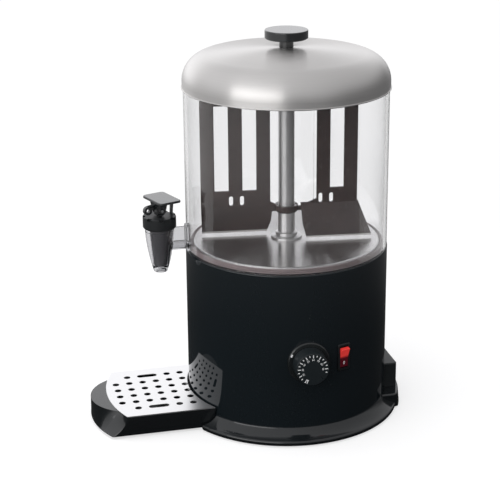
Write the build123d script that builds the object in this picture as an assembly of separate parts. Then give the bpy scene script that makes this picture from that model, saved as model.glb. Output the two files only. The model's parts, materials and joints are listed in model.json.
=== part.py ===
from build123d import *
import os
from math import atan2, cos, radians, sin, sqrt

# Hot chocolate dispenser. Millimetres, +Z up, counter at z = 0, drum axis on Z, tap and tray towards -Y.

# Fits shared by all pieces
seat_gap = 0.1  # fixed pieces that fit one in the other
run_gap = 0.05  # shaft or pin in its bore
slide_gap = 0.3  # curved faces that move past each other

# Base moulding, base plate and foot
rim_lift = 1.4  # flange rim above the counter
flange_reach = 17.5  # flange rim beyond the drum
flange_edge = 5.2
flange_cove = (5.0, 8.0, 22.0)  # hollow beside the drum's ledge: run, drop and round
rim_draft = 2.0  # rim drawn in at its foot
base_wall = 2.8
ledge_width = 1.1
spigot_wall = 3.6
spigot_rise = 14.0
base_rib_count = 16
base_rib = 2.0
boss_radius = 5.0
boss_depth = 14.0
boss_inset = 8.4  # boss axis inside the spigot bore
boss_count = 4
plate_sheet = 1.2
foot_height = 4.4
foot_width = 5.2
vent_count = 12
vent_size = (26.0, 6.0)
vent_radius = 62.0
screw_radius = 1.6
screw_head_radius = 3.5
screw_head = 2.2

# Drum
drum_radius = 122.5
drum_sheet = 1.2
drum_floor = 18.0
drum_height = 191.0
drum_edge_round = 2.0
deck_width = 14.5  # inturned top rim of the drum

# Rear cover, cord bush and terminals
cover_half = 38.0
cover_depth = 10.9  # behind the drum
cover_wall = 2.4
cover_height = 31.0
cover_round = 4.5
pedestal_rise = 0.5  # pedestal top above the drum's lower edge
pedestal_half = 62.0
pedestal_draft = 1.6  # pedestal's foot beyond the flange rim
pedestal_round = 6.0
pedestal_edge = 2.0
cover_boss_radius = 4.0
cover_boss_x = 27.0
cover_boss_inset = 6.8  # in front of the cover's back
bush_neck = 4.6  # cord bush in the cover's side
bush_lip = 5.3
bush_collar = (7.4, 2.4)
bush_boot = (5.8, 4.8, 15.0)
bush_cord = 3.4
bush_lift = 17.5  # above the pedestal
terminal_size = (30.0, 6.0, 15.0)
wiring_hole = 9.0

# Heated plate, water bath and seal
hot_plate_inset = 9.5  # inside the drum's wall
hot_plate_rise = 7.0
hot_plate_sheet = 1.5
hot_plate_round = 2.5
tank_gap = 1.5  # inside the drum's inturned rim
tank_sheet = 1.0
tank_depth = 64.5
seal_height = 6.2
seal_ribs = 3
seal_groove = 0.9

# Heating element
element_ring = 70.0
element_tube = 4.2
element_lift = 18.0  # tube centre above the tank floor
element_bend = 12.0
element_sweep = 322.0
element_leg = 12.0  # below the tank floor
element_nut = (7.0, 6.0)

# Column, shafts and motor
column_radius = 9.6
column_bore = 6.5
column_drop = 6.0  # column top below the crossbar
sleeve_wall = 0.8  # lower sleeve round the column
sleeve_height = 32.0
foot_disc = (9.4, 2.2)  # beyond the column, and height
foot_step = (3.6, 6.6)
column_tail = 10.0  # below the tank floor
bush_length = 12.0
bush_flange = (9.2, 2.0)
shaft_radius = 4.0
shaft_flat = 3.0
shaft_nose = 15.0  # above the top bush
coupling_size = (8.5, 22.0)
set_screw = 2.0
motor_radius = 27.0
motor_length = 52.0
gearbox_radius = 32.0
gearbox_length = 26.0
gearbox_boss = (11.0, 4.0)
output_length = 14.0
bracket_radius = 58.0
bracket_sheet = 2.0
standoff_length = 44.0
standoff_radius = 5.0
standoff_circle = 48.0
motor_screw_circle = 24.0
rod_radius = 3.0
rod_inset = 18.5  # inside the tank's wall
rod_angles = (60.0, 180.0, 300.0)
rod_nut = (5.5, 3.2)

# Stirrer
stirrer_angle = 83.5  # direction of the paddle with two tines
hub_wall = 4.4  # beyond the column
hub_height = 8.6
hub_slot_depth = 3.0
paddle_sheet = 3.0
tine_width = 16.5
tine_margin = 14.75  # outer tine to the bowl's wall
tine_start = 28.0
fold_lift = 41.0  # fold line above the heated plate
web_height = 19.0  # plate between the fold and the windows
flap_lean = 17.0
flap_gap = 3.2
paddle_slot = (5.0, 12.0)
paddle_slot_pitch = 13.2
crossbar_drop = 32.0  # underside below the bowl's rim
crossbar_size = (8.0, 6.0)
crossbar_boss = (13.0, 15.0)

# Bowl and lid
bowl_setback = 0.7
bowl_wall = 3.8
bowl_height = 204.0
lid_sheet = 0.9
lid_overlap = 11.0
lid_shoulder = 31.7
lid_skirt = 8.2
lid_crown = 680.0
lid_bead = 0.9
knob_radius = 25.5
knob_thickness = 10.5
knob_stem = (8.4, 10.1)
knob_screw_radius = 1.6
knob_screw_reach = 11.0

# Tap
tap_stand = 32.9  # tap axis in front of the drum
outlet_lift = 7.0  # arm axis above the drum's top
arm_radius = 5.6
arm_bore = 3.8
saddle_half = 9.0
saddle_height = (6.4, 23.5)  # below and above the arm axis
saddle_wall = 2.6
gusset = 3.0
barrel_top = 20.0  # barrel shoulder above the arm axis
barrel_drop = 31.0  # outlet below the arm axis
barrel_radius = 17.4
barrel_waist = (13.6, -9.0)
spout_radius = 8.0
spout_bore = 5.2
spout_round = 1.6
neck_radius = 16.4
neck_height = 10.0
cup_clear = 0.9
cup_wall = 2.2
cup_flange = 2.0
cavity_top = 13.8
cavity_foot = (8.4, 8.5)
collar_radius = 19.8
collar_wall = 3.0
collar_skirt = 6.0  # below the barrel's neck top
collar_top = 3.5
collar_notches = 8
collar_notch = (5.5, 2.6)
stem_radius = 3.0
stem_head = (8.0, 9.0, 11.0)
stem_foot = (4.6, 3.0)
pin_lift = 7.0  # lever pin above the collar
pin_radius = 1.5
lever_yaw = 20.0
lever_plate = (45.0, 29.0, 2.6)
lever_corner = 5.0
lever_setback = 3.9
lever_lift = 11.7  # plate underside above the pin
cheek = 2.8
cheek_round = 5.5
nose_reach = 15.5
nose_lift = 1.6
nose_radius = 5.2
nose_eye = 2.2
nose_width = 4.4
heel_width = 3.2
heel_reach = 16.2

# Drip tray and grid
tray_gap = 0.7  # tray to the drum
recess_gap = 1.35  # tray to the base's recess
tray_lift = 3.0
tray_height = 25.5
tray_top_half = 67.0
tray_foot_half = 63.0
tray_corner = 89.0  # this and the next three lie in front of the drum
tray_foot_corner = 106.5
tray_nose = 123.5
lip_shoulder_reach = 96.0
lip_shoulder_x = 47.0
tray_foot_shoulder_x = 45.0
corner_scoop = 4.9  # front corner drawn back at half height
corner_round = 1.2
tray_wall = 2.6
tray_floor = 2.6
lip_thickness = 2.8
runner = (6.0, 70.0)
runner_x = 42.0
runner_reach = 45.5  # runner's middle in front of the drum
grid_sheet = 1.0
grid_reach = 103.5  # grid's front edge in front of the drum
grid_inset = 0.4
grid_hole_radius = 4.1
grid_rows = (9.1, 27.3, 45.5)  # either side of the middle
grid_pitch = 16.7
grid_columns = 6
grid_first = 5.5  # first row of holes in front of the drum
grid_tab = (40.0, 4.0)

# Thermostat, dial and switch
dial_angle = -2.3
dial_height = 100.8
bezel_radius = 25.0
bezel_thickness = 2.6
bezel_bore = 10.0
dial_radius = 20.0
dial_face_radius = 19.5
dial_gap = 0.8  # behind the dial
dial_thickness = 18.8
dial_shell = 2.4
dial_hub = 6.5
spindle_radius = 3.0
spindle_flat = 2.3
bush_radius = 5.0
bush_nut = (8.0, 2.4)
thermostat_size = (24.0, 36.0, 40.0)
thermostat_setback = 10.5  # behind the drum's wall
shoulder_radius = 8.0
bulb_radius = 3.0
bulb_length = 52.0
bulb_angle = -35.0
capillary_radius = 0.9
capillary_bend = 12.0
capillary_drop = 14.0
switch_angle = 18.7
switch_height = 100.8
switch_bezel = (17.0, 33.0, 2.0)
switch_body = (13.4, 29.8, 24.0)
switch_pocket = (11.8, 27.8, 12.0)
rocker_width = 11.2
rocker_half = 12.2
rocker_rise = 2.1
rocker_crown = 4.6  # rocker's middle in front of its pivot
rocker_depth = 4.0
rocker_tilt = 10.0
pivot_depth = 3.2  # rocker pivot behind the drum's surface
pivot_radius = 1.2
pivot_reach = 0.7
tab_size = (8.0, 6.3, 0.8)

# Heights and radii that follow from the sizes above
plate_seat = foot_height + plate_sheet
drum_top = drum_floor + drum_height
drum_bore = drum_radius - drum_sheet
flange_radius = drum_radius + flange_reach
spigot_radius = drum_bore - slide_gap
spigot_bore = spigot_radius - spigot_wall
ledge_radius = drum_radius + ledge_width
boss_circle = spigot_bore - boss_inset
deck_bore = drum_radius - deck_width
cover_rear = drum_radius + cover_depth
cover_boss_y = cover_rear - cover_boss_inset
hot_plate_radius = drum_radius - hot_plate_inset
tank_radius = deck_bore - tank_gap
rod_circle = tank_radius - rod_inset
pedestal_top = drum_floor + pedestal_rise
hot_plate_top = drum_top + hot_plate_rise
tank_top = hot_plate_top - hot_plate_sheet
tank_floor = tank_top - tank_depth
bowl_radius = drum_radius - bowl_setback
bowl_bore = bowl_radius - bowl_wall
bowl_rim = drum_top + bowl_height
crossbar_z = bowl_rim - crossbar_drop
column_top = crossbar_z - column_drop
sleeve_radius = column_radius + sleeve_wall
hub_radius = column_radius + hub_wall
column_foot = tank_floor - column_tail
hub_floor = hot_plate_top + sleeve_height + slide_gap
fold_z = hot_plate_top + fold_lift
window_z = fold_z + web_height
shaft_top = column_top + bush_flange[1] + shaft_nose
standoff_foot = tank_floor - standoff_length
bracket_foot = standoff_foot - bracket_sheet
gearbox_foot = bracket_foot - gearbox_length
output_top = bracket_foot + gearbox_boss[1] + output_length
tine_pitch = (bowl_bore - tine_margin - tine_width / 2 - tine_start) / 2
front_tines = [tine_start + i * tine_pitch for i in range(3)]
rear_tines = [tine_start + (i + 0.5) * tine_pitch for i in range(2)]
lid_radius = bowl_radius + slide_gap + lid_sheet
lid_rim = bowl_rim - lid_overlap
tap_reach = drum_radius + tap_stand
arm_z = drum_top + outlet_lift
neck_top = arm_z + barrel_top + neck_height
collar_face = neck_top + cup_flange + collar_wall + collar_top
pin_z = collar_face + pin_lift
tray_back = drum_radius + ledge_width + tray_gap
tray_rim = tray_lift + tray_height
tray_draft = (tray_top_half - tray_foot_half) / tray_height
recess_half = tray_foot_half + tray_draft * (drum_floor - tray_lift) + recess_gap
tray_corner_y = -drum_radius - tray_corner
tray_foot_corner_y = -drum_radius - tray_foot_corner
tray_nose_y = -drum_radius - tray_nose
lip_shoulder = (lip_shoulder_x, -drum_radius - lip_shoulder_reach)
runner_y = -drum_radius - runner_reach
grid_front_y = -drum_radius - grid_reach
grid_first_y = -drum_radius - grid_first
thermostat_front = drum_radius - thermostat_setback
dial_back = drum_radius + bezel_thickness + dial_gap


def outline(points, rounds=None):
    """Closed face through the points; rounds gives some corners, by number, a radius."""
    radii = [(rounds or {}).get(i, 0) for i in range(len(points))]
    return make_face(FilletPolyline(*points, radius=radii, close=True))


def turned(points, rounds=None):
    """Solid turned about Z from a closed (radius, height) outline."""
    return revolve(Plane.XZ * outline(points, rounds), Axis.Z)


def turned_x(points, rounds=None):
    """Solid turned about X from a closed (distance, radius) outline."""
    return revolve(outline(points, rounds), Axis.X)


def post(radius, low, high):
    """Upright cylinder on the Z axis between two heights."""
    return Pos(0, 0, low) * Cylinder(radius, high - low, align=(Align.CENTER, Align.CENTER, Align.MIN))


def bar_x(radius, near, far):
    """Cylinder on the X axis between two distances."""
    return Rot(0, 90, 0) * post(radius, near, far)


def bar_y(radius, near, far):
    """Cylinder on the Y axis between two distances."""
    return Rot(-90, 0, 0) * post(radius, near, far)


def slab(x, y, z):
    """Box between the given (low, high) pairs."""
    size = [pair[1] - pair[0] for pair in (x, y, z)]
    return Pos(x[0], y[0], z[0]) * Box(*size, align=(Align.MIN, Align.MIN, Align.MIN))


def span(middle, width):
    """(low, high) pair of a width centred on a middle."""
    return (middle - width / 2, middle + width / 2)


def hex_nut(flat_radius, bore, low, high):
    """Hexagon nut on the Z axis; flat_radius is half the distance across its flats."""
    blank = extrude(RegularPolygon(flat_radius, 6, major_radius=False), high - low)
    return Pos(0, 0, low) * blank - post(bore, low - 1, high + 1)


def around(radius, count, piece, start=0.0):
    """Copies of a piece spaced evenly on a circle about Z."""
    return [place * piece for place in PolarLocations(radius, count, start)]


def at_angles(radius, angles, piece):
    """Copies of a piece at the given angles on a circle about Z."""
    return [Rot(0, 0, angle) * Pos(radius, 0, 0) * piece for angle in angles]


def on_drum(angle, height, piece):
    """Turns a piece drawn along +X to its angle and height on the drum."""
    return Pos(0, 0, height) * Rot(0, 0, angle) * piece


def pan_screw(length):
    """Pan head screw pointing up, its head's seat at z = 0."""
    edge = screw_head / 2
    wide = screw_head_radius
    head = turned([(0, -screw_head), (wide - edge, -screw_head), (wide, -edge), (wide, 0), (0, 0)])
    return head + post(screw_radius, 0, length)


# Base and foot


def flange_height(radius):
    """Height of the flange's sloping top, carried on straight inside its cove, at a radius."""
    run, drop = flange_cove[:2]
    foot = drum_floor - drop
    share = (radius - ledge_radius - run) / (flange_radius - ledge_radius - run)
    return foot + share * (rim_lift + flange_edge - foot)


def base_ring():
    """Flange, drum ledge and spigot in one turned wall."""
    skirt = flange_radius - base_wall
    run, drop, cove_round = flange_cove
    return turned(
        [
            (spigot_bore, plate_seat),
            (spigot_bore, drum_floor + spigot_rise),
            (spigot_radius, drum_floor + spigot_rise),
            (spigot_radius, drum_floor),
            (ledge_radius, drum_floor),
            (ledge_radius + run, drum_floor - drop),
            (flange_radius, rim_lift + flange_edge),
            (flange_radius - rim_draft, rim_lift),
            (skirt - rim_draft, rim_lift),
            (skirt, flange_height(skirt) - base_wall),
            (spigot_radius, flange_height(spigot_radius) - base_wall),
            (spigot_radius, plate_seat),
        ],
        {5: cove_round, 6: 3.0},
    )


def flange_block():
    """The flange's full section under its top, used for ribs and for the recess's end walls."""
    return turned(
        [
            (spigot_radius, plate_seat),
            (spigot_radius, flange_height(spigot_radius) - base_wall / 2),
            (flange_radius - base_wall / 2, rim_lift + flange_edge - base_wall / 2),
            (flange_radius - base_wall / 2 - rim_draft / 2, plate_seat),
        ]
    )


def pedestal_block(inset):
    """Raised sector behind the drum whose rear wall follows the flange's rim; the inset gives its hollow."""
    outer = flange_radius - inset
    foot = rim_lift - inset
    top = pedestal_top - inset
    half = pedestal_half - inset
    cone = turned([(0, foot), (outer + pedestal_draft, foot), (outer, top), (0, top)])
    return cone & slab((-half, half), (0, 2 * outer), (foot, top))


def make_base():
    """Moulded base: flange, ribs, screw bosses, tray recess with end walls, pedestal for the rear cover."""
    base = base_ring()
    block = flange_block()
    rib = slab((spigot_radius - 1, flange_radius), span(0, base_rib), (0, drum_floor))
    end_x = recess_half + base_wall / 2
    walls = [slab(span(x, base_wall), (-flange_radius, 0), (0, drum_floor)) for x in (-end_x, end_x)]
    base += [block & piece for piece in around(0, base_rib_count, rib, 180 / base_rib_count) + walls]
    recess = slab((-recess_half, recess_half), (-2 * flange_radius, 0), (0, drum_floor + 1))
    base -= recess - post(ledge_radius, 0, drum_floor + 1)
    boss = post(boss_radius, plate_seat, plate_seat + boss_depth)
    boss += slab((0, boss_inset + 1), span(0, 2 * base_rib), (plate_seat, plate_seat + boss_depth))
    boss -= post(screw_radius + run_gap, plate_seat - 1, plate_seat + boss_depth - base_wall)
    base += around(boss_circle, boss_count, boss, 45)
    shell = pedestal_block(0)
    rear = [edge for edge in shell.edges() if edge.center().Y > drum_radius / 2]
    shell = fillet(sorted(rear, key=lambda edge: edge.bounding_box().size.Z)[-2:], pedestal_round)
    top_wire = shell.faces().sort_by(Axis.Z)[-1].outer_wire()
    shell = fillet(top_wire.edges().sort_by(Axis.Y)[1:], pedestal_edge) - pedestal_block(base_wall)
    shell -= post(ledge_radius - 0.5, 0, pedestal_top + 1)
    hole = post(screw_radius + slide_gap, 0, pedestal_top + 1)
    hole += post(screw_head_radius + 2 * slide_gap, 0, pedestal_top - base_wall)
    return base + shell - [Pos(x, cover_boss_y, 0) * hole for x in (-cover_boss_x, cover_boss_x)]


def make_base_plate():
    """Steel sheet that closes the base, with a ring of vents and holes for screws and tie rods."""
    plate = post(spigot_radius - 1.5, foot_height, plate_seat)
    vent = extrude(Pos(0, 0, foot_height) * SlotOverall(*vent_size), plate_sheet)
    plate -= around(vent_radius, vent_count, vent)
    plate -= around(boss_circle, boss_count, post(screw_radius + slide_gap, 0, plate_seat + 1), 45)
    return plate - at_angles(rod_circle, rod_angles, post(rod_radius + slide_gap, 0, plate_seat + 1))


def make_foot_ring():
    """Rubber ring under the base plate, narrower where it meets the counter."""
    outer = spigot_radius - 2.0
    inner = outer - foot_width
    return turned([(inner, foot_height), (inner + 1, 0), (outer - 1, 0), (outer, foot_height)])


def make_base_screws():
    """Screws that hold the base plate to the base."""
    return around(boss_circle, boss_count, Pos(0, 0, foot_height) * pan_screw(boss_depth - 4), 45)


# Drum


def make_drum():
    """Painted sheet drum with an inturned top rim and cut-outs for the dial, switch and wiring."""
    drum = turned(
        [
            (drum_bore, drum_floor),
            (drum_radius, drum_floor),
            (drum_radius, drum_top),
            (deck_bore, drum_top),
            (deck_bore, drum_top - drum_sheet),
            (drum_bore, drum_top - drum_sheet),
        ],
        {2: drum_edge_round},
    )
    dial_hole = bar_x(bush_radius + seat_gap, drum_bore - 5, drum_radius + 5)
    half_y = switch_body[0] / 2 + seat_gap
    half_z = switch_body[1] / 2 + seat_gap
    switch_hole = slab((drum_bore - 5, drum_radius + 5), (-half_y, half_y), (-half_z, half_z))
    drum -= on_drum(dial_angle, dial_height, dial_hole)
    drum -= on_drum(switch_angle, switch_height, switch_hole)
    wiring_z = pedestal_top + bush_lift
    return drum - on_drum(90, wiring_z, bar_x(wiring_hole, drum_bore - 5, drum_radius + 5))


# Rear cover


def cover_block(inset):
    """Cover's rounded block, drawn in by inset on every side but the open front and bottom."""
    half = cover_half - inset
    top = pedestal_top + cover_height - inset
    block = slab((-half, half), (0, cover_rear - inset), (pedestal_top, top))
    block = fillet(block.edges().filter_by(Axis.Z).sort_by(Axis.Y)[-2:], cover_round - inset)
    return block


def make_rear_cover():
    """Box-shaped cover behind the drum, with two screw bosses and the cord bush's hole in its far side."""
    cover = cover_block(0) - cover_block(cover_wall)
    rim = cover.faces().sort_by(Axis.Z)[-1].outer_wire().edges().sort_by(Axis.Y)[1:]
    cover = fillet(rim, 1.6)
    boss_top = pedestal_top + cover_height - cover_wall / 2
    boss = post(cover_boss_radius, pedestal_top, boss_top)
    boss -= post(screw_radius + run_gap, pedestal_top - 1, pedestal_top + boss_depth)
    cover += [Pos(x, cover_boss_y, 0) * boss for x in (-cover_boss_x, cover_boss_x)]
    cover -= post(drum_radius + seat_gap, 0, drum_top)
    return cover - bush_place(bar_x(bush_neck + seat_gap, -cover_wall * 2, cover_wall * 2))


def bush_place(piece):
    """Turns a piece drawn along +X to the cord bush's place in the cover's far side."""
    y = sqrt(drum_radius**2 - cover_half**2) + bush_collar[0]
    return Pos(-cover_half, y, pedestal_top + bush_lift) * Rot(0, 0, 180) * piece


def make_cord_bush():
    """Rubber cord bush: lip inside the cover, collar outside and a ringed boot, hollow for the lead."""
    collar, collar_depth = bush_collar
    near, far, length = bush_boot
    end = collar_depth + length
    bush = turned_x(
        [
            (-cover_wall - 2.4, bush_cord),
            (-cover_wall - 2.4, bush_neck),
            (-cover_wall - 0.1, bush_lip),
            (-cover_wall - 0.1, bush_neck),
            (0, bush_neck),
            (0, collar),
            (collar_depth, collar),
            (collar_depth, near),
            (end, far),
            (end, bush_cord),
        ]
    )
    ring = turned_x([(0, near - 1), (1.6, near - 1), (1.6, near + 1), (0, near + 1)])
    bush -= [Pos(collar_depth + length * share, 0, 0) * ring for share in (0.25, 0.5, 0.75)]
    return bush_place(bush)


def make_terminal_block():
    """Terminal block on the pedestal, with three screw wells."""
    width, depth, height = terminal_size
    front = drum_radius + 1.5
    block = slab(span(0, width), (front, front + depth), (pedestal_top, pedestal_top + height))
    well = post(2.2, pedestal_top + height - 7, pedestal_top + height + 1)
    return block - [Pos(i * width / 3, front + depth / 2, 0) * well for i in (-1, 0, 1)]


def make_cover_screws():
    """Screws from under the pedestal into the cover's bosses."""
    seat = pedestal_top - base_wall
    return [
        Pos(x, cover_boss_y, seat) * pan_screw(boss_depth) for x in (-cover_boss_x, cover_boss_x)
    ]


# Water bath


def make_hot_plate():
    """Brushed plate with a turned-down edge that stands on the drum's rim."""
    hole = column_radius + seat_gap
    return turned(
        [
            (hole, tank_top),
            (hole, hot_plate_top),
            (hot_plate_radius, hot_plate_top),
            (hot_plate_radius, drum_top),
            (hot_plate_radius - hot_plate_sheet, drum_top),
            (hot_plate_radius - hot_plate_sheet, tank_top),
        ],
        {2: hot_plate_round},
    )


def make_plate_seal():
    """Silicone ring on the drum's rim, between the plate's edge and the bowl, ribbed towards the bowl."""
    inner = hot_plate_radius + seat_gap
    outer = bowl_bore - slide_gap
    pitch = seal_height / seal_ribs
    side = []
    for i in range(seal_ribs):
        low = drum_top + i * pitch
        side += [(outer - seal_groove, low), (outer, low + pitch / 2)]
    side.append((outer - seal_groove, drum_top + seal_height))
    return turned([(inner, drum_top)] + side + [(inner, drum_top + seal_height * 0.85)])


def leg_places():
    """Centres of the element's two legs on the tank floor."""
    half = element_sweep / 2
    sides = []
    for sign in (-1, 1):
        angle = radians(sign * half)
        x = element_ring * cos(angle) - sign * element_bend * sin(angle)
        y = element_ring * sin(angle) + sign * element_bend * cos(angle)
        sides.append((x, y))
    return sides


def make_water_tank():
    """Open pan under the heated plate, holed for the column and for the element's legs."""
    tank = post(tank_radius, tank_floor, tank_top) - post(
        tank_radius - tank_sheet, tank_floor + tank_sheet, tank_top + 1
    )
    tank -= post(column_radius + seat_gap, tank_floor - 1, tank_top)
    return tank - [
        Pos(x, y, 0) * post(element_tube + seat_gap, tank_floor - 1, tank_top) for x, y in leg_places()
    ]


def make_heating_element():
    """Tubular element: a nearly closed ring whose two ends bend down through the tank floor."""
    ring_z = tank_floor + element_lift
    low_z = tank_floor - element_leg
    half = element_sweep / 2
    ends = []
    for sign, (x, y) in zip((-1, 1), leg_places()):
        angle = radians(sign * half)
        start = Vector(element_ring * cos(angle), element_ring * sin(angle), ring_z)
        corner = Vector(x, y, ring_z - element_bend)
        along = (start - Vector(x, y, ring_z)) / element_bend
        centre = corner + along * element_bend
        middle = centre + (Vector(0, 0, 1) - along) * (element_bend / sqrt(2))
        ends.append((Vector(x, y, low_z), corner, middle, start))
    first, last = ends
    path = Wire(
        [
            Line(first[0], first[1]).edge(),
            ThreePointArc(first[1], first[2], first[3]).edge(),
            ThreePointArc(first[3], (element_ring, 0, ring_z), last[3]).edge(),
            ThreePointArc(last[3], last[2], last[1]).edge(),
            Line(last[1], last[0]).edge(),
        ]
    )
    return sweep(Plane(origin=first[0], z_dir=(0, 0, 1)) * Circle(element_tube), path=path)


def make_element_nuts():
    """Nuts that seal the element's legs under the tank floor."""
    flats, height = element_nut
    nut = hex_nut(flats, element_tube + seat_gap, tank_floor - height, tank_floor)
    return [Pos(x, y, 0) * nut for x, y in leg_places()]


# Column, shafts and motor


def make_column():
    """Fixed steel tube round the drive shaft, with a stepped foot and a thicker lower sleeve."""
    disc_height = foot_disc[1]
    step_height = foot_step[1]
    disc_radius = column_radius + foot_disc[0]
    step_radius = column_radius + foot_step[0]
    base = hot_plate_top
    return turned(
        [
            (column_bore, column_foot),
            (column_radius, column_foot),
            (column_radius, base),
            (disc_radius, base),
            (disc_radius, base + disc_height),
            (step_radius, base + disc_height + 1.2),
            (step_radius, base + step_height),
            (sleeve_radius, base + step_height + 1.2),
            (sleeve_radius, base + sleeve_height),
            (column_radius, base + sleeve_height),
            (column_radius, column_top),
            (column_bore, column_top),
        ]
    )


def make_shaft_bushes():
    """Two flanged bronze bushes in the ends of the column."""
    flange_radius_, flange = bush_flange
    inner = shaft_radius + run_gap
    outer = column_bore - seat_gap
    bush = turned(
        [
            (inner, -bush_length),
            (outer, -bush_length),
            (outer, 0),
            (flange_radius_, 0),
            (flange_radius_, flange),
            (inner, flange),
        ]
    )
    return [Pos(0, 0, column_top) * bush, Pos(0, 0, column_foot) * Rot(180, 0, 0) * bush]


def flat_shaft(gap):
    """Section of the drive shaft's flatted end, widened by a gap."""
    return Circle(shaft_radius + gap) & Rectangle(3 * shaft_radius, 2 * (shaft_flat + gap))


def make_drive_shaft():
    """Shaft from the coupling to the stirrer's socket, with two flats on its top end."""
    nose_foot = crossbar_z
    shaft = post(shaft_radius, output_top + run_gap, nose_foot)
    shaft += extrude(Pos(0, 0, nose_foot) * flat_shaft(0), shaft_top - nose_foot)
    return Rot(0, 0, stirrer_angle) * shaft


def make_output_shaft():
    """The gearbox's own short output shaft."""
    return post(shaft_radius, bracket_foot - gearbox_length / 2, output_top)


def make_coupling():
    """Sleeve that joins the output shaft to the drive shaft, with two set-screw holes."""
    radius, length = coupling_size
    sleeve = post(radius, output_top - length / 2, output_top + length / 2)
    sleeve -= post(shaft_radius + run_gap, output_top - length, output_top + length)
    hole = bar_x(set_screw, 0, radius + 1)
    return sleeve - [Pos(0, 0, z) * hole for z in span(output_top, length / 2)]


def make_gear_motor():
    """Gear motor: flat gearbox with ears on the bracket, motor can with cooling slots below."""
    boss_radius_, boss_height = gearbox_boss
    motor_foot = gearbox_foot - motor_length
    motor = post(gearbox_radius, gearbox_foot, bracket_foot)
    motor += post(boss_radius_, bracket_foot, bracket_foot + boss_height)
    can = post(motor_radius, motor_foot, gearbox_foot)
    can = fillet(can.edges().group_by(Axis.Z)[0], 3.0)
    slot = slab((motor_radius - 1.5, motor_radius + 2), span(0, 4), (motor_foot + 12, gearbox_foot - 12))
    can -= around(0, 8, slot)
    bore = post(shaft_radius + run_gap, bracket_foot - gearbox_length / 2 - 1, bracket_foot + 20)
    hole = post(screw_radius + run_gap, bracket_foot - 10, bracket_foot + 1)
    return motor + can - bore - around(motor_screw_circle, 3, hole, 30)


def make_motor_bracket():
    """Sheet bracket that carries the motor: a rounded triangle on three standoffs."""
    boss_radius_ = gearbox_boss[0]
    end = bracket_radius - standoff_circle
    arm = extrude(Pos(0, 0, bracket_foot) * SlotOverall(standoff_circle + 2 * end, 2 * end), bracket_sheet)
    bracket = post(gearbox_radius, bracket_foot, standoff_foot) + around(standoff_circle / 2, 3, arm)
    bracket -= post(boss_radius_ + seat_gap, 0, tank_floor)
    screws = around(motor_screw_circle, 3, post(screw_radius + slide_gap, 0, tank_floor), 30)
    stands = around(standoff_circle, 3, post(screw_radius + slide_gap, 0, tank_floor))
    return bracket - screws - stands


def make_motor_standoffs():
    """Three hexagon posts from the tank floor down to the bracket."""
    stand = extrude(RegularPolygon(standoff_radius, 6, major_radius=False), standoff_length)
    return around(standoff_circle, 3, Pos(0, 0, standoff_foot) * stand)


def make_motor_screws():
    """Screws through the bracket into the gearbox, and up into the standoffs."""
    down = Pos(0, 0, standoff_foot) * Rot(180, 0, 0) * pan_screw(bracket_sheet + 6)
    return around(motor_screw_circle, 3, down, 30)


def make_tie_rods():
    """Rods welded to the tank floor that clamp tank, drum and base together."""
    rod = post(rod_radius, foot_height - rod_nut[1] - 0.2, tank_floor)
    return at_angles(rod_circle, rod_angles, rod)


def make_rod_nuts():
    """Thin nuts on the tie rods under the base plate."""
    nut = hex_nut(rod_nut[0], rod_radius + seat_gap, foot_height - rod_nut[1], foot_height)
    return at_angles(rod_circle, rod_angles, nut)


# Stirrer


def make_stirrer_hub():
    """Lower guide ring on the column, slotted for the paddles' tongues."""
    hub = turned(
        [
            (column_radius + slide_gap, hub_floor),
            (hub_radius - 1.5, hub_floor),
            (hub_radius, hub_floor + 2),
            (hub_radius, hub_floor + hub_height),
            (column_radius + slide_gap, hub_floor + hub_height),
        ]
    )
    half = paddle_sheet / 2 + seat_gap
    depth = hub_radius - hub_slot_depth
    slots = [
        slab((depth, hub_radius + 1), (-half, half), (hub_floor - 1, hub_floor + hub_height + 1)),
        slab((-hub_radius - 1, -depth), (-half, half), (hub_floor - 1, hub_floor + hub_height + 1)),
    ]
    return Rot(0, 0, stirrer_angle) * (hub - slots)


def upright(face):
    """Paddle plate from a (radius, height) face, centred on the paddle's plane."""
    return extrude(Plane.XZ * face, paddle_sheet / 2, both=True)


def paddle(tines, arm, inner, outer, slot_radius):
    """One paddle along +X: tines, web, arm to the hub, and the flap that leans at the fold.

    inner and outer give the flap's edges as (radius at the fold, radius at the bottom).
    """
    low = tines[0] - tine_width / 2
    high = tines[-1] + tine_width / 2
    plate = upright(outline([(low, fold_z), (high, fold_z), (high, window_z), (low, window_z)]))
    for radius in tines:
        half = tine_width / 2
        tine = [(radius - half, window_z - 1), (radius + half, window_z - 1)]
        plate += upright(outline(tine + [(radius + half, crossbar_z), (radius - half, crossbar_z)]))
    plate += upright(outline(arm))
    drop = fold_lift - flap_gap
    lean = atan2(flap_lean, drop)
    length = sqrt(drop**2 + flap_lean**2)
    sheet = Plane(origin=(0, 0, fold_z), x_dir=(1, 0, 0), z_dir=(0, -cos(lean), sin(lean)))
    middle = inner[0] + (inner[1] - inner[0]) * 0.2
    flap = outline(
        [(inner[0], 0), (outer[0], 0), (outer[1], -length), (inner[1], -length), (middle, -length * 0.6)]
    )
    plate += extrude(sheet * flap, paddle_sheet / 2, both=True)
    plate += Pos(0, 0, fold_z) * bar_x(paddle_sheet / 2, inner[0], outer[0])
    width, height = paddle_slot
    slot = Rot(0, 0, 90) * SlotOverall(height, width)
    for side in (-0.5, 0.5):
        place = Plane.XZ * Pos(slot_radius + side * paddle_slot_pitch, fold_z + 0.6 + height / 2)
        plate -= extrude(place * slot, paddle_sheet, both=True)
    return plate


def tongue_radius():
    """Where the paddles' tongues end inside the hub's slots."""
    return hub_radius - hub_slot_depth + seat_gap


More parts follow.
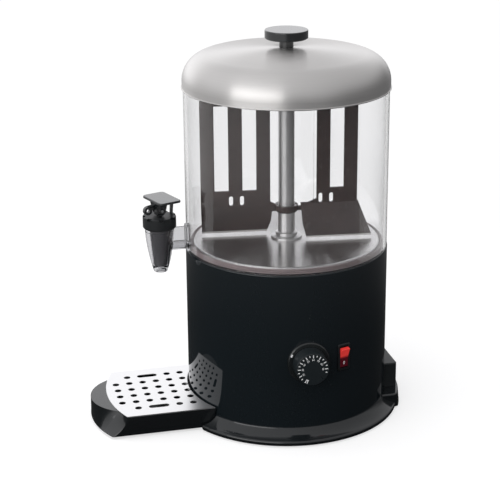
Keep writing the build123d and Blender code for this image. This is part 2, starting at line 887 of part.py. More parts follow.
def make_front_paddle():
    """Paddle with three tines, towards the tap at rest."""
    low = front_tines[0] - tine_width / 2
    arm = [
        (tongue_radius(), hub_floor + 0.6),
        (low + 2, hub_floor + 0.6),
        (low + 6, fold_z + 4),
        (low, fold_z + 4),
        (tongue_radius(), hub_floor + hub_height - 0.4),
    ]
    flap_inner = (low - 3, low + 2.5)
    flap_outer = (front_tines[-1] + tine_width / 2, front_tines[-1] + tine_width / 2 - 1.5)
    piece = paddle(front_tines, arm, flap_inner, flap_outer, front_tines[1] - 1)
    return Rot(0, 0, stirrer_angle + 180) * piece


def make_rear_paddle():
    """Paddle with two tines, staggered against the other paddle's."""
    low = rear_tines[0] - tine_width / 2
    arm = [
        (tongue_radius(), hub_floor + 0.6),
        (low + 4, hub_floor + 0.6),
        (low + 4, fold_z + 5.5),
        (low, fold_z + 5.5),
        (hub_radius + 3, hub_floor + hub_height - 2.6),
        (tongue_radius(), hub_floor + hub_height - 2.6),
    ]
    flap_inner = (hub_radius + 3.5, hub_radius + 8)
    flap_outer = (rear_tines[-1] + tine_width / 2 + 1.5, front_tines[-1] + tine_width / 2 - 1.5)
    piece = paddle(rear_tines, arm, flap_inner, flap_outer, rear_tines[0] + paddle_slot_pitch / 4)
    return Rot(0, 0, stirrer_angle) * piece


def make_stirrer_crossbar():
    """Bar across the tines' tops, with the socket that sits on the drive shaft."""
    width, height = crossbar_size
    boss_radius_, boss_height = crossbar_boss
    front = front_tines[-1] + tine_width / 2
    rear = rear_tines[-1] + tine_width / 2
    bar = slab((-front, rear), span(0, width), (crossbar_z, crossbar_z + height))
    bar = fillet(bar.edges().filter_by(Axis.Z), width / 2 - 0.2)
    boss_top = shaft_top + run_gap + 3.0
    low = boss_top - boss_height
    boss = turned([(0, low), (boss_radius_, low), (boss_radius_, boss_top), (0, boss_top)], {2: 3.0})
    socket = extrude(Pos(0, 0, crossbar_z - 10) * flat_shaft(run_gap), shaft_top + run_gap - crossbar_z + 10)
    lower = post(shaft_radius + run_gap, crossbar_z - 10, crossbar_z + run_gap)
    return Rot(0, 0, stirrer_angle) * (bar + boss - socket - lower)


# Bowl and lid


def make_bowl():
    """Clear open-ended bowl that stands on the drum's rim, holed for the tap's arm."""
    bowl = turned(
        [
            (bowl_bore, drum_top),
            (bowl_radius, drum_top),
            (bowl_radius, bowl_rim),
            (bowl_bore, bowl_rim),
        ],
        {2: 1.0, 3: 1.0},
    )
    return bowl - Pos(0, 0, arm_z) * bar_y(arm_radius + slide_gap, -bowl_radius - 5, -bowl_bore + 5)


def dome(inset):
    """Solid under the lid's surface, drawn in by inset: skirt, shoulder arc and crown arc, all tangent."""
    radius = lid_radius - inset
    shoulder = lid_shoulder - inset
    crown = lid_crown - inset
    bend_z = lid_rim + lid_skirt
    middle_r = lid_radius - lid_shoulder
    drop = sqrt((lid_crown - lid_shoulder) ** 2 - middle_r**2)
    lean = atan2(middle_r, drop)
    crown_z = bend_z - drop
    meet = (crown * sin(lean), crown_z + crown * cos(lean))
    half = (radians(90) - lean) / 2
    shoulder_mid = (middle_r + shoulder * cos(half), bend_z + shoulder * sin(half))
    crown_mid = (crown * sin(lean / 2), crown_z + crown * cos(lean / 2))
    top = (0, crown_z + crown)
    foot = lid_rim if inset == 0 else lid_rim - 1
    edges = [
        Line((0, foot), (radius, foot)),
        Line((radius, foot), (radius, bend_z)),
        ThreePointArc((radius, bend_z), shoulder_mid, meet),
        ThreePointArc(meet, crown_mid, top),
        Line(top, (0, foot)),
    ]
    return revolve(Plane.XZ * make_face(edges), Axis.Z)


def lid_top():
    """Height of the lid's crown."""
    middle_r = lid_radius - lid_shoulder
    return lid_rim + lid_skirt - sqrt((lid_crown - lid_shoulder) ** 2 - middle_r**2) + lid_crown


def make_lid():
    """Spun steel lid: domed sheet with a rolled rim, a seat ring for the bowl and the screw's hole."""
    lid = dome(0) - dome(lid_sheet)
    lid += Pos(0, 0, lid_rim + lid_bead / 2) * Torus(lid_radius, lid_bead)
    lid += post(lid_radius - lid_sheet * 0.7, bowl_rim, bowl_rim + lid_sheet) - post(bowl_bore, 0, lid_top())
    return lid - post(knob_screw_radius + slide_gap, lid_top() - 10, lid_top() + 1)


def make_lid_knob():
    """Knob: flat disc on a short stem, bored for its screw."""
    stem_radius_, stem_height = knob_stem
    foot = lid_top() + run_gap
    under = foot + stem_height
    top = under + knob_thickness
    knob = turned(
        [
            (0, foot),
            (stem_radius_, foot),
            (stem_radius_, under),
            (knob_radius - 1, under),
            (knob_radius, under + 1),
            (knob_radius, top),
            (0, top),
        ],
        {5: 1.0},
    )
    return knob - post(knob_screw_radius + run_gap, foot - 1, foot + knob_screw_reach)


def make_knob_screw():
    """Washer-head screw from inside the lid."""
    seat = lid_top() - lid_sheet - run_gap
    head = turned([(0, seat - 3), (4, seat - 3), (4, seat - 1), (7, seat - 1), (7, seat), (0, seat)])
    return head + post(knob_screw_radius, seat, lid_top() + knob_screw_reach - 1)


# Tap


def tap_place(piece):
    """Moves a piece drawn about Z to the tap's axis."""
    return Pos(0, -tap_reach, 0) * piece


def barrel_outline():
    """Outer (radius, height) edges of the barrel: neck, shoulder and curved cone."""
    shoulder = arm_z + barrel_top
    foot = arm_z - barrel_drop
    waist = (barrel_waist[0], arm_z + barrel_waist[1])
    return [
        Line((0, foot), (spout_radius, foot)),
        ThreePointArc((spout_radius, foot), waist, (barrel_radius, shoulder)),
        Line((barrel_radius, shoulder), (neck_radius, shoulder)),
        Line((neck_radius, shoulder), (neck_radius, neck_top)),
        Line((neck_radius, neck_top), (0, neck_top)),
        Line((0, neck_top), (0, foot)),
    ]


def cavity():
    """Space inside the barrel: cone for the cup, seat and spout."""
    radius, rise = cavity_foot
    seat_z = arm_z - barrel_drop + rise
    return turned(
        [
            (0, arm_z - barrel_drop - 1),
            (spout_bore, arm_z - barrel_drop - 1),
            (spout_bore, seat_z - 4),
            (radius, seat_z),
            (cavity_top, neck_top + 1),
            (0, neck_top + 1),
        ]
    )


def make_tap_body():
    """Clear tap moulding: barrel, arm into the bowl, gusset and the saddle bonded to the bowl."""
    section = make_face(barrel_outline())
    section = fillet(section.vertices().group_by(Axis.Y)[0].sort_by(Axis.X)[-1], spout_round)
    barrel = tap_place(revolve(Plane.XZ * section, Axis.Z))
    below, above = saddle_height
    arm = Pos(0, 0, arm_z) * bar_y(arm_radius, -tap_reach, 0)
    web = slab((-gusset / 2, gusset / 2), (-tap_reach, 0), (arm_z, arm_z + above - 1))
    saddle = slab((-saddle_half, saddle_half), (-drum_radius * 2, 0), (arm_z - below, arm_z + above))
    saddle &= post(bowl_radius + seat_gap + saddle_wall, 0, bowl_rim)
    body = barrel + (web + saddle - post(bowl_radius + seat_gap, 0, bowl_rim))
    body += arm - post(bowl_bore + seat_gap, 0, bowl_rim)
    body -= tap_place(cavity())
    return body - Pos(0, 0, arm_z) * bar_y(arm_bore, -tap_reach, 0)


def make_tap_collar():
    """Screwed collar that clamps the cup, with a notched top edge."""
    skirt_foot = neck_top - collar_skirt
    clamp_z = neck_top + cup_flange + seat_gap
    inner_top = collar_face - collar_top
    collar = turned(
        [
            (neck_radius + seat_gap, skirt_foot),
            (collar_radius - 1, skirt_foot),
            (collar_radius, skirt_foot + 1.5),
            (collar_radius, collar_face),
            (stem_radius + slide_gap, collar_face),
            (stem_radius + slide_gap, inner_top),
            (neck_radius - collar_wall, inner_top),
            (neck_radius - collar_wall, clamp_z),
            (neck_radius + seat_gap, clamp_z),
        ],
        {3: 0.8},
    )
    width, depth = collar_notch
    low = collar_face - depth
    notch = slab((collar_radius - 3, collar_radius + 1), span(0, width), (low, collar_face + 1))
    collar -= around(0, collar_notches, notch, 360 / collar_notches / 2)
    return tap_place(Rot(0, 0, lever_yaw) * collar)


def make_seat_cup():
    """Silicone cup: clamped flange, conical wall and a tip that holds the stem's foot."""
    radius, rise = cavity_foot
    seat_z = arm_z - barrel_drop + rise
    foot_radius, foot_height_ = stem_foot
    tip = seat_z - 2.2
    socket = tip + 4.6
    wall_top = cavity_top - cup_clear
    return tap_place(
        turned(
            [
                (0, tip),
                (radius - cup_clear - 2.2, tip),
                (radius - cup_clear, seat_z + 0.6),
                (wall_top, neck_top),
                (neck_radius - seat_gap, neck_top),
                (neck_radius - seat_gap, neck_top + cup_flange),
                (wall_top - cup_wall, neck_top + cup_flange),
                (foot_radius + 0.9, socket + foot_height_ + 4.5),
                (stem_radius + slide_gap, socket + foot_height_ + 3.4),
                (stem_radius + slide_gap, socket + foot_height_ + slide_gap),
                (foot_radius + slide_gap, socket + foot_height_ + slide_gap),
                (foot_radius + slide_gap, socket),
                (0, socket),
            ]
        )
    )


def stem_foot_z():
    """Underside of the stem's foot, just above the bottom of the cup's socket."""
    return arm_z - barrel_drop + cavity_foot[1] + 2.4 + seat_gap


def make_tap_stem():
    """Stem from the cup to the lever: foot, rod and a flat head with the pin's hole."""
    foot_radius, foot_height_ = stem_foot
    width, depth, height = stem_head
    low = stem_foot_z()
    head_foot = pin_z - height / 2
    stem = post(foot_radius, low, low + foot_height_) + post(stem_radius, low, head_foot + 1)
    head = slab(span(0, width), span(0, depth), (head_foot, head_foot + height))
    head = fillet(head.edges().filter_by(Axis.X).group_by(Axis.Z)[-1], 2.0)
    stem += head
    stem -= Pos(0, 0, pin_z) * bar_x(pin_radius + run_gap, -width, width)
    return tap_place(Rot(0, 0, lever_yaw) * stem)


def make_lever_pin():
    """Steel pin through the lever's cheeks and the stem's head."""
    reach = stem_head[0] / 2 + slide_gap + cheek + 1.0
    return tap_place(Rot(0, 0, lever_yaw) * Pos(0, 0, pin_z) * bar_x(pin_radius, -reach, reach))


def side_plate(face, near, far):
    """Plate across X between two distances from a face drawn in (forward, height)."""
    return Pos(near, 0, 0) * extrude(Plane.YZ * face, far - near)


def make_tap_lever():
    """Lever: thumb plate, two cheeks on the pin, a nose that rocks on the collar and a heel behind."""
    width, depth, thickness = lever_plate
    under = pin_z + lever_lift
    plate = extrude(Pos(0, lever_setback, under) * RectangleRounded(width, depth, lever_corner), thickness)
    plate = fillet(plate.edges().group_by(Axis.Z)[-1], 1.0)
    inside = stem_head[0] / 2 + slide_gap
    half = depth / 2 - 6
    lever = plate
    top = under + 0.5
    cheek_face = outline([(-half, top), (half, top), (cheek_round, pin_z), (-cheek_round, pin_z)])
    cheek_face += Pos(0, pin_z) * Circle(cheek_round)
    for near in (inside, -inside - cheek):
        lever += side_plate(cheek_face, near, near + cheek)
    wall_back = -stem_head[1] / 2 - 3 * slide_gap
    wall_foot = pin_z + 4 * slide_gap
    wall = outline([(-half, top), (wall_back, top), (wall_back, wall_foot), (-cheek_round, wall_foot)])
    lever += side_plate(wall, -inside - cheek / 2, inside + cheek / 2)
    nose_z = pin_z + nose_lift
    root = [(-cheek_round, pin_z + 2), (-cheek_round, pin_z + 8)]
    nose = outline(root + [(-nose_reach, nose_z + nose_radius), (-nose_reach, nose_z)])
    nose += Pos(-nose_reach, nose_z) * Circle(nose_radius)
    nose -= Pos(-nose_reach, nose_z) * Circle(nose_eye)
    lever += side_plate(nose, -nose_width / 2, nose_width / 2)
    heel_foot = collar_face + slide_gap
    heel = outline(
        [
            (heel_reach - 1.3, heel_foot),
            (heel_reach + 1.3, heel_foot),
            (heel_reach + 3.1, top),
            (heel_reach - 0.7, top),
        ]
    )
    lever += side_plate(heel, -heel_width / 2, heel_width / 2)
    lever -= Pos(0, 0, pin_z) * bar_x(pin_radius + run_gap / 2, -width, width)
    return tap_place(Rot(0, 0, lever_yaw) * lever)


# Drip tray


def back_y(half):
    """Where the tray's back arc meets a side at the given half width."""
    return -sqrt(tray_back**2 - half**2)


def foot_arc_y(x):
    """Front edge of the tray's foot at a distance x from the middle: one arc through corner and nose."""
    sag = tray_foot_corner_y - tray_nose_y
    radius = (tray_foot_half**2 + sag**2) / (2 * sag)
    return tray_nose_y + radius - sqrt(radius**2 - x**2)


def tray_face(half, corner_y, shoulder, middle, height):
    """Tray outline at one height: back arc, sides, the two shoulders and the rounded lip."""
    x, y = shoulder
    back = back_y(half)
    edges = [
        Line((half, back), (half, corner_y)),
        ThreePointArc((half, corner_y), middle, (x, y)),
        ThreePointArc((x, y), (0, tray_nose_y), (-x, y)),
        ThreePointArc((-x, y), (-middle[0], middle[1]), (-half, corner_y)),
        Line((-half, corner_y), (-half, back)),
        ThreePointArc((-half, back), (0, -tray_back), (half, back)),
    ]
    return Pos(0, 0, height) * make_face(edges)


def well_face(half, front_y, corner_y, height):
    """Outline of the tray's well at one height."""
    arc = tray_back + tray_wall
    back = -sqrt(arc**2 - half**2)
    edges = [
        Line((half, back), (half, corner_y)),
        ThreePointArc((half, corner_y), (0, front_y), (-half, corner_y)),
        Line((-half, corner_y), (-half, back)),
        ThreePointArc((-half, back), (0, -arc), (half, back)),
    ]
    return Pos(0, 0, height) * make_face(edges)


def make_tray_tub():
    """Tray tub: drafted walls round the well, a rounded lip in front, runners underneath."""
    x, y = lip_shoulder
    mid_x = (tray_foot_half + tray_foot_shoulder_x) / 2
    foot = tray_face(
        tray_foot_half,
        tray_foot_corner_y,
        (tray_foot_shoulder_x, foot_arc_y(tray_foot_shoulder_x)),
        (mid_x, foot_arc_y(mid_x)),
        tray_lift,
    )
    top_mid = ((tray_top_half + x) / 2, (tray_corner_y + y) / 2 + 0.5)
    rim = tray_face(tray_top_half, tray_corner_y, lip_shoulder, top_mid, tray_rim)
    waist = tray_face(
        (tray_foot_half + tray_top_half) / 2,
        (tray_foot_corner_y + tray_corner_y) / 2 + corner_scoop,
        ((tray_foot_shoulder_x + x) / 2, (foot_arc_y(tray_foot_shoulder_x) + y) / 2),
        ((mid_x + top_mid[0]) / 2, (foot_arc_y(mid_x) + top_mid[1] + corner_scoop) / 2),
        (tray_lift + tray_rim) / 2,
    )
    tub = loft([foot, waist, rim])
    corners = tub.edges().filter_by(lambda edge: edge.bounding_box().size.Z > tray_height - 0.5)
    corners = corners.sort_by(lambda edge: abs(edge.center().X))[-4:].sort_by(Axis.Y)[:2]
    tub = fillet(corners, corner_round)
    front = grid_front_y + tray_wall + 1
    corner = tray_corner_y + tray_wall + 1
    well_foot = well_face(tray_foot_half - tray_wall, front + 4, corner + 4, tray_lift + tray_floor)
    well_rim = well_face(tray_top_half - tray_wall, front, corner, tray_rim + 0.01)
    tub -= loft([well_foot, well_rim], ruled=True)
    tip_x = x - 4
    tip_y = y - 1.2
    core = make_face(
        [
            ThreePointArc((tip_x, tip_y), (0, tray_nose_y + tray_wall), (-tip_x, tip_y)),
            ThreePointArc((-tip_x, tip_y), (0, front - tray_wall), (tip_x, tip_y)),
        ]
    )
    tub -= extrude(core, tray_rim - lip_thickness)
    width, length = runner
    for side in (-runner_x, runner_x):
        tub += slab(span(side, width), span(runner_y, length), (0, tray_lift + 1))
    return tub


def grid_holes():
    """Centres of the grid's round holes and of its two slots."""
    ys = [grid_first_y - i * grid_pitch for i in range(grid_columns)]
    rounds = []
    slots = []
    for row in grid_rows:
        for x in (-row, row):
            outer = row == grid_rows[-1]
            rounds += [(x, y) for i, y in enumerate(ys) if not outer or i in (0, 1, 4)]
            if outer:
                slots.append((x, (ys[2] + ys[3]) / 2))
    return rounds, slots


def make_drip_grid():
    """Perforated steel grid over the tub, with tabs that drop inside its sides."""
    half = tray_top_half - grid_inset
    arc = tray_back + grid_inset
    back = -sqrt(arc**2 - half**2)
    face = make_face(
        [
            Line((half, back), (half, tray_corner_y)),
            ThreePointArc((half, tray_corner_y), (0, grid_front_y), (-half, tray_corner_y)),
            Line((-half, tray_corner_y), (-half, back)),
            ThreePointArc((-half, back), (0, -arc), (half, back)),
        ]
    )
    rounds, slots = grid_holes()
    face -= [Pos(x, y) * Circle(grid_hole_radius) for x, y in rounds]
    slot = Rot(0, 0, 90) * SlotOverall(grid_pitch + 2 * grid_hole_radius, 2 * grid_hole_radius)
    face -= [Pos(x, y) * slot for x, y in slots]
    grid = extrude(Pos(0, 0, tray_rim) * face, grid_sheet)
    length, depth = grid_tab
    draft = (tray_top_half - tray_foot_half) / (tray_height - tray_floor) * depth
    outside = tray_top_half - tray_wall - draft - slide_gap
    middle = outside - grid_sheet / 2
    for side in (-middle, middle):
        heights = (tray_rim - depth, tray_rim + grid_sheet / 2)
        grid += slab(span(side, grid_sheet), span(runner_y, length), heights)
    return grid


# Thermostat and dial


def make_thermostat():
    """Capillary thermostat behind the drum: box, shoulder and threaded bush through the wall."""
    depth, width, height = thermostat_size
    body = slab((thermostat_front - depth, thermostat_front), span(0, width), span(0, height))
    body = fillet(body.edges().filter_by(Axis.X), 3.0)
    stop = sqrt(drum_bore**2 - shoulder_radius**2) - seat_gap
    body += bar_x(shoulder_radius, thermostat_front - 1, stop)
    body += bar_x(bush_radius, stop - 1, drum_radius + bush_nut[1] + 1)
    body -= bar_x(spindle_radius + run_gap, thermostat_front - 8, drum_radius + 20)
    return on_drum(dial_angle, dial_height, body)


def make_thermostat_nut():
    """Nut that holds the thermostat's bush on the outside of the drum."""
    flats, height = bush_nut
    nut = Rot(0, 90, 0) * hex_nut(flats, bush_radius + seat_gap, drum_radius, drum_radius + height)
    return on_drum(dial_angle, dial_height, nut)


def spindle_face(gap):
    """D-shaped section of the spindle's front end, widened by a gap, drawn across X."""
    flat = Pos(0, -spindle_radius) * Rectangle(
        4 * spindle_radius, 2 * (spindle_radius + spindle_flat + gap), align=(Align.CENTER, Align.CENTER)
    )
    return Plane.YZ * (Circle(spindle_radius + gap) & flat)


def make_spindle():
    """Thermostat spindle, flatted where it enters the dial."""
    start = dial_back + 2.0
    end = dial_back + dial_thickness - dial_shell - 0.5
    spindle = bar_x(spindle_radius, thermostat_front - 7, start)
    spindle += Pos(start, 0, 0) * extrude(spindle_face(0), end - start)
    return on_drum(dial_angle, dial_height, spindle)


def make_dial_bezel():
    """Round bezel on the drum behind the dial, hollowed to the drum's curve."""
    face = drum_radius + bezel_thickness
    bezel = turned_x(
        [
            (drum_radius - 6, bezel_bore),
            (drum_radius - 6, bezel_radius),
            (face - 1.2, bezel_radius),
            (face, bezel_radius - 1.2),
            (face, bezel_bore),
        ]
    )
    return on_drum(dial_angle, dial_height, bezel) - post(drum_radius + seat_gap, 0, drum_top)


def make_dial():
    """Moulded dial: tapered shell with a closed face and a hub on the spindle."""
    face = dial_back + dial_thickness
    dial = turned_x(
        [
            (dial_back, 0),
            (dial_back, dial_radius),
            (face, dial_face_radius),
            (face, 0),
        ],
        {2: 0.6},
    )
    hollow = turned_x(
        [
            (dial_back - 1, dial_hub),
            (dial_back - 1, dial_radius - dial_shell),
            (face - dial_shell, dial_face_radius - dial_shell),
            (face - dial_shell, dial_hub),
        ]
    )
    relief = bar_x(dial_hub + 2.5, dial_back - 1, dial_back + 1.6)
    socket = Pos(dial_back - 1, 0, 0) * extrude(spindle_face(run_gap), dial_thickness - dial_shell + 0.8)
    throat = bar_x(spindle_radius + run_gap, dial_back - 1, dial_back + 2.0 + run_gap)
    return on_drum(dial_angle, dial_height, dial - hollow - relief - socket - throat)


def make_capillary():
    """Thermostat's capillary tube and its bulb against the tank's wall, in one piece."""
    depth, height = thermostat_size[0], thermostat_size[2]
    reach = tank_radius + bulb_radius + slide_gap
    spot = radians(bulb_angle)
    x, y = reach * cos(spot), reach * sin(spot)
    start_r = thermostat_front - depth / 2
    turn = radians(dial_angle)
    start = Vector(start_r * cos(turn), start_r * sin(turn), dial_height - height / 2)
    low = start.Z - capillary_drop
    bulb_z = tank_floor + 4
    path = FilletPolyline(
        start, (start.X, start.Y, low), (x, y, low), (x, y, bulb_z), radius=capillary_bend
    )
    tube = sweep(Plane(origin=start, z_dir=(0, 0, -1)) * Circle(capillary_radius), path=path)
    side = [(0, 0), (capillary_radius, 0), (bulb_radius, 4), (bulb_radius, bulb_length), (0, bulb_length)]
    return tube + Pos(x, y, bulb_z) * turned(side, {3: 2.0})


# Switch


def pivot_x():
    """Distance of the rocker's pivot from the drum's axis."""
    return drum_radius - pivot_depth


def make_switch_housing():
    """Switch frame and body: flat bezel, pocket for the rocker, three tabs behind."""
    width, height, thickness = switch_bezel
    body_w, body_h, body_d = switch_body
    pocket_w, pocket_h, pocket_d = switch_pocket
    front = drum_radius + thickness
    frame = extrude(Plane.YZ * RectangleRounded(width, height, 2.0), thickness)
    frame = Pos(drum_radius, 0, 0) * fillet(frame.edges().group_by(Axis.X)[-1], 0.8)
    body = slab((drum_radius - body_d, drum_radius), span(0, body_w), span(0, body_h))
    housing = frame + body - slab((front - pocket_d, front + 1), span(0, pocket_w), span(0, pocket_h))
    reach = rocker_width / 2 + pivot_reach + seat_gap
    housing -= Pos(pivot_x(), 0, 0) * bar_y(pivot_radius + run_gap, -reach, reach)
    length, tab_w, tab_t = tab_size
    back = drum_radius - body_d
    for z in (-body_h / 3, 0, body_h / 3):
        housing += slab((back - length, back), span(0, tab_w), span(z, tab_t))
    return on_drum(switch_angle, switch_height, housing)


def make_rocker():
    """Rocker with two dished halves, shown with its lower half pressed in."""
    high = rocker_crown + rocker_rise
    face = outline(
        [
            (high, rocker_half),
            (rocker_crown, 0),
            (high, -rocker_half),
            (2, -rocker_half),
            (-rocker_depth, -rocker_half / 2),
            (-rocker_depth, rocker_half / 2),
            (2, rocker_half),
        ],
        {0: 0.8, 2: 0.8, 1: 20.0},
    )
    rocker = extrude(Plane.XZ * face, rocker_width / 2, both=True)
    rocker += bar_y(pivot_radius, -rocker_width / 2 - pivot_reach, rocker_width / 2 + pivot_reach)
    rocker = Pos(pivot_x(), 0, 0) * Rot(0, rocker_tilt, 0) * rocker
    return on_drum(switch_angle, switch_height, rocker)


pieces = {
    "base": make_base(),
    "base_plate": make_base_plate(),
    "foot_ring": make_foot_ring(),
    "base_screws": make_base_screws(),
    "drum": make_drum(),
    "rear_cover": make_rear_cover(),
    "rear_cover_screws": make_cover_screws(),
    "cord_bush": make_cord_bush(),
    "terminal_block": make_terminal_block(),
    "heated_plate": make_hot_plate(),
    "plate_seal": make_plate_seal(),
    "water_tank": make_water_tank(),
    "heating_element": make_heating_element(),
    "element_nuts": make_element_nuts(),
    "centre_column": make_column(),
    "shaft_bushes": make_shaft_bushes(),
    "drive_shaft": make_drive_shaft(),
    "motor_output_shaft": make_output_shaft(),
    "shaft_coupling": make_coupling(),
    "gear_motor": make_gear_motor(),
    "motor_bracket": make_motor_bracket(),
    "motor_standoffs": make_motor_standoffs(),
    "motor_screws": make_motor_screws(),
    "tie_rods": make_tie_rods(),
    "tie_rod_nuts": make_rod_nuts(),
    "stirrer_hub": make_stirrer_hub(),
    "front_paddle": make_front_paddle(),
    "rear_paddle": make_rear_paddle(),
    "stirrer_crossbar": make_stirrer_crossbar(),
    "bowl": make_bowl(),
    "lid": make_lid(),
    "lid_knob": make_lid_knob(),
    "lid_knob_screw": make_knob_screw(),
    "tap_body": make_tap_body(),
    "tap_collar": make_tap_collar(),
    "tap_seat_cup": make_seat_cup(),
    "tap_stem": make_tap_stem(),
    "tap_lever": make_tap_lever(),
    "lever_pin": make_lever_pin(),
    "drip_tray": make_tray_tub(),
    "drip_grid": make_drip_grid(),
    "thermostat": make_thermostat(),
    "thermostat_nut": make_thermostat_nut(),
    "thermostat_spindle": make_spindle(),
    "thermostat_bulb": make_capillary(),
    "dial_bezel": make_dial_bezel(),
    "dial": make_dial(),
    "switch_housing": make_switch_housing(),
    "switch_rocker": make_rocker(),
}

os.makedirs("parts", exist_ok=True)
for name, piece in pieces.items():
    whole = Compound(children=piece) if isinstance(piece, list) else piece
    export_step(whole, f"parts/{name}.step")
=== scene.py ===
import json

import bpy
import numpy as np
from mathutils import Matrix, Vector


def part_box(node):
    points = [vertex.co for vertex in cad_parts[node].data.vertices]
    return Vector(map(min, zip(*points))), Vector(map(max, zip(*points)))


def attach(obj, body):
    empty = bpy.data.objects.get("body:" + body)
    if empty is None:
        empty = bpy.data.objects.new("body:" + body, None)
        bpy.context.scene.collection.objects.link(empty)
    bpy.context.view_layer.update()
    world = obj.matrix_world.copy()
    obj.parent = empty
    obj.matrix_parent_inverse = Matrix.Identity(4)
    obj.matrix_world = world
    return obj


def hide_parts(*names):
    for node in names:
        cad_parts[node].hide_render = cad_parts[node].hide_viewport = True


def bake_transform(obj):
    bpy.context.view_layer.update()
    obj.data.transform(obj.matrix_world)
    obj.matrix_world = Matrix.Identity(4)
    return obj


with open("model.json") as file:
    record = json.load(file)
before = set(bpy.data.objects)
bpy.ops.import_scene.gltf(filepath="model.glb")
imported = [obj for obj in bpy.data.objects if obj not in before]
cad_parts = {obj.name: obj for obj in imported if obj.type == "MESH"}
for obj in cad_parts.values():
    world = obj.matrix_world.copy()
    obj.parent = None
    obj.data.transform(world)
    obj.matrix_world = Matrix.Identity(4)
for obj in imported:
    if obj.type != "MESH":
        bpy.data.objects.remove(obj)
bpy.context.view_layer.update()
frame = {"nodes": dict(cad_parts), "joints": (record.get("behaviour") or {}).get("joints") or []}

nodes = frame["nodes"]

# Base moulding
# The black base under the drum: a sloping flange, a recess for the tray and a pedestal behind.
# Injection moulded in glossy plastic; a screwed steel plate closes it underneath.


class Wire:
    """A node's output; sums, differences and products of wires and numbers add Math nodes."""

    def __init__(self, finish, socket):
        self.finish = finish
        self.socket = socket

    def __add__(self, other):
        return self.finish.math("ADD", self, other)

    def __radd__(self, other):
        return self.finish.math("ADD", other, self)

    def __sub__(self, other):
        return self.finish.math("SUBTRACT", self, other)

    def __rsub__(self, other):
        return self.finish.math("SUBTRACT", other, self)

    def __mul__(self, other):
        return self.finish.math("MULTIPLY", self, other)

    def __rmul__(self, other):
        return self.finish.math("MULTIPLY", other, self)

    def step(self, low, high):
        """Rises smoothly from 0 at low to 1 at high."""
        ends = {"Value": self, "From Min": low, "From Max": high}
        return self.finish.node("ShaderNodeMapRange", {"interpolation_type": "SMOOTHSTEP"}, ends)


class Finish:
    """One material: a Principled shader, with nodes for what changes over the surface."""

    def __init__(self, name, colour, roughness, plain=None):
        self.material = bpy.data.materials.new(name)
        self.material.use_nodes = True
        self.tree = self.material.node_tree
        self.shader = self.tree.nodes["Principled BSDF"]
        self.feed({"Base Color": (*colour, 1.0), "Roughness": roughness, **(plain or {})})

    def join(self, made, inputs):
        """Fills a node's sockets: a wire is linked, and a plain value is written into the socket."""
        for key, value in inputs.items():
            if isinstance(value, Wire):
                self.tree.links.new(value.socket, made.inputs[key])
            else:
                made.inputs[key].default_value = value

    def node(self, kind, settings, inputs, output=0):
        """Adds a node: settings first, then the values or wires of its sockets; returns one output."""
        made = self.tree.nodes.new(kind)
        for key, value in settings.items():
            setattr(made, key, value)
        self.join(made, inputs)
        return Wire(self, made.outputs[output])

    def feed(self, inputs):
        """Fills sockets of the material's own shader."""
        self.join(self.shader, inputs)

    def math(self, operation, *values):
        """One Math node on its values, in order."""
        return self.node("ShaderNodeMath", {"operation": operation}, dict(enumerate(values)))

    def place(self):
        """Object coordinates, in metres from the frame's origin."""
        return self.node("ShaderNodeTexCoord", {}, {}, "Object")

    def axis(self, vector, number):
        """One coordinate of a vector: 0 for X, 1 for Y and 2 for Z."""
        return self.node("ShaderNodeSeparateXYZ", {}, {0: vector}, number)

    def vector(self, x, y, z):
        """A vector from three wires or numbers."""
        return self.node("ShaderNodeCombineXYZ", {}, {0: x, 1: y, 2: z})

    def length(self, vector):
        """How long a vector is."""
        return self.node("ShaderNodeVectorMath", {"operation": "LENGTH"}, {0: vector}, "Value")

    def dot(self, vector, direction):
        """How far a vector reaches along a direction."""
        pair = {0: vector, 1: tuple(direction)}
        return self.node("ShaderNodeVectorMath", {"operation": "DOT_PRODUCT"}, pair, "Value")

    def ray(self, fact):
        """What is known of the ray being traced, such as whether it comes off a glossy surface."""
        return self.node("ShaderNodeLightPath", {}, {}, fact)

    def noise(self, vector, scale, detail=2.0):
        """Cloudy noise from 0 to 1; the scale is about its number of blots in a metre."""
        return self.node("ShaderNodeTexNoise", {}, {"Vector": vector, "Scale": scale, "Detail": detail})

    def mix(self, share, first, second):
        """Colour from first to second as the share goes from 0 to 1."""
        first, second = ((*c, 1.0) if isinstance(c, tuple) else c for c in (first, second))
        return self.node("ShaderNodeMix", {"data_type": "RGBA"}, {0: share, 6: first, 7: second}, 2)

    def bump(self, height, depth):
        """Bends the normal by a height from 0 to 1 that stands for a depth in metres."""
        bent = self.node("ShaderNodeBump", {}, {"Strength": 1.0, "Distance": depth, "Height": height})
        self.feed({"Normal": bent})


def dress(finish, *names):
    """Puts a finish on CAD nodes."""
    for name in names:
        nodes[name].material_slots[0].material = finish.material


def moulded(name, colour, roughness, grain=0.000004, plain=None):
    """Moulded plastic: slow flow marks in colour and gloss, and a fine grain in the surface."""
    finish = Finish(name, colour, roughness, plain)
    place = finish.place()
    flow = finish.noise(place, scale=35.0, detail=3.0)
    smear = finish.noise(place, scale=140.0)
    lighter = tuple(1.35 * c + 0.0015 for c in colour)
    finish.feed({
        "Base Color": finish.mix(flow, colour, lighter),
        "Roughness": roughness * 0.8 + smear * (roughness * 0.4),
    })
    finish.bump(finish.noise(place, scale=2600.0), grain)
    return finish


base_gloss = {"Specular IOR Level": 0.6}
dress(moulded("base_gloss_black", (0.008, 0.0098, 0.011), 0.1, plain=base_gloss), "base")

# Foot ring, base plate and the screws under the base
# A rubber ring that the machine stands on, a zinc-plated sheet with vents, and pan-head screws.
# The plate is pressed sheet, screwed up into the base's bosses.


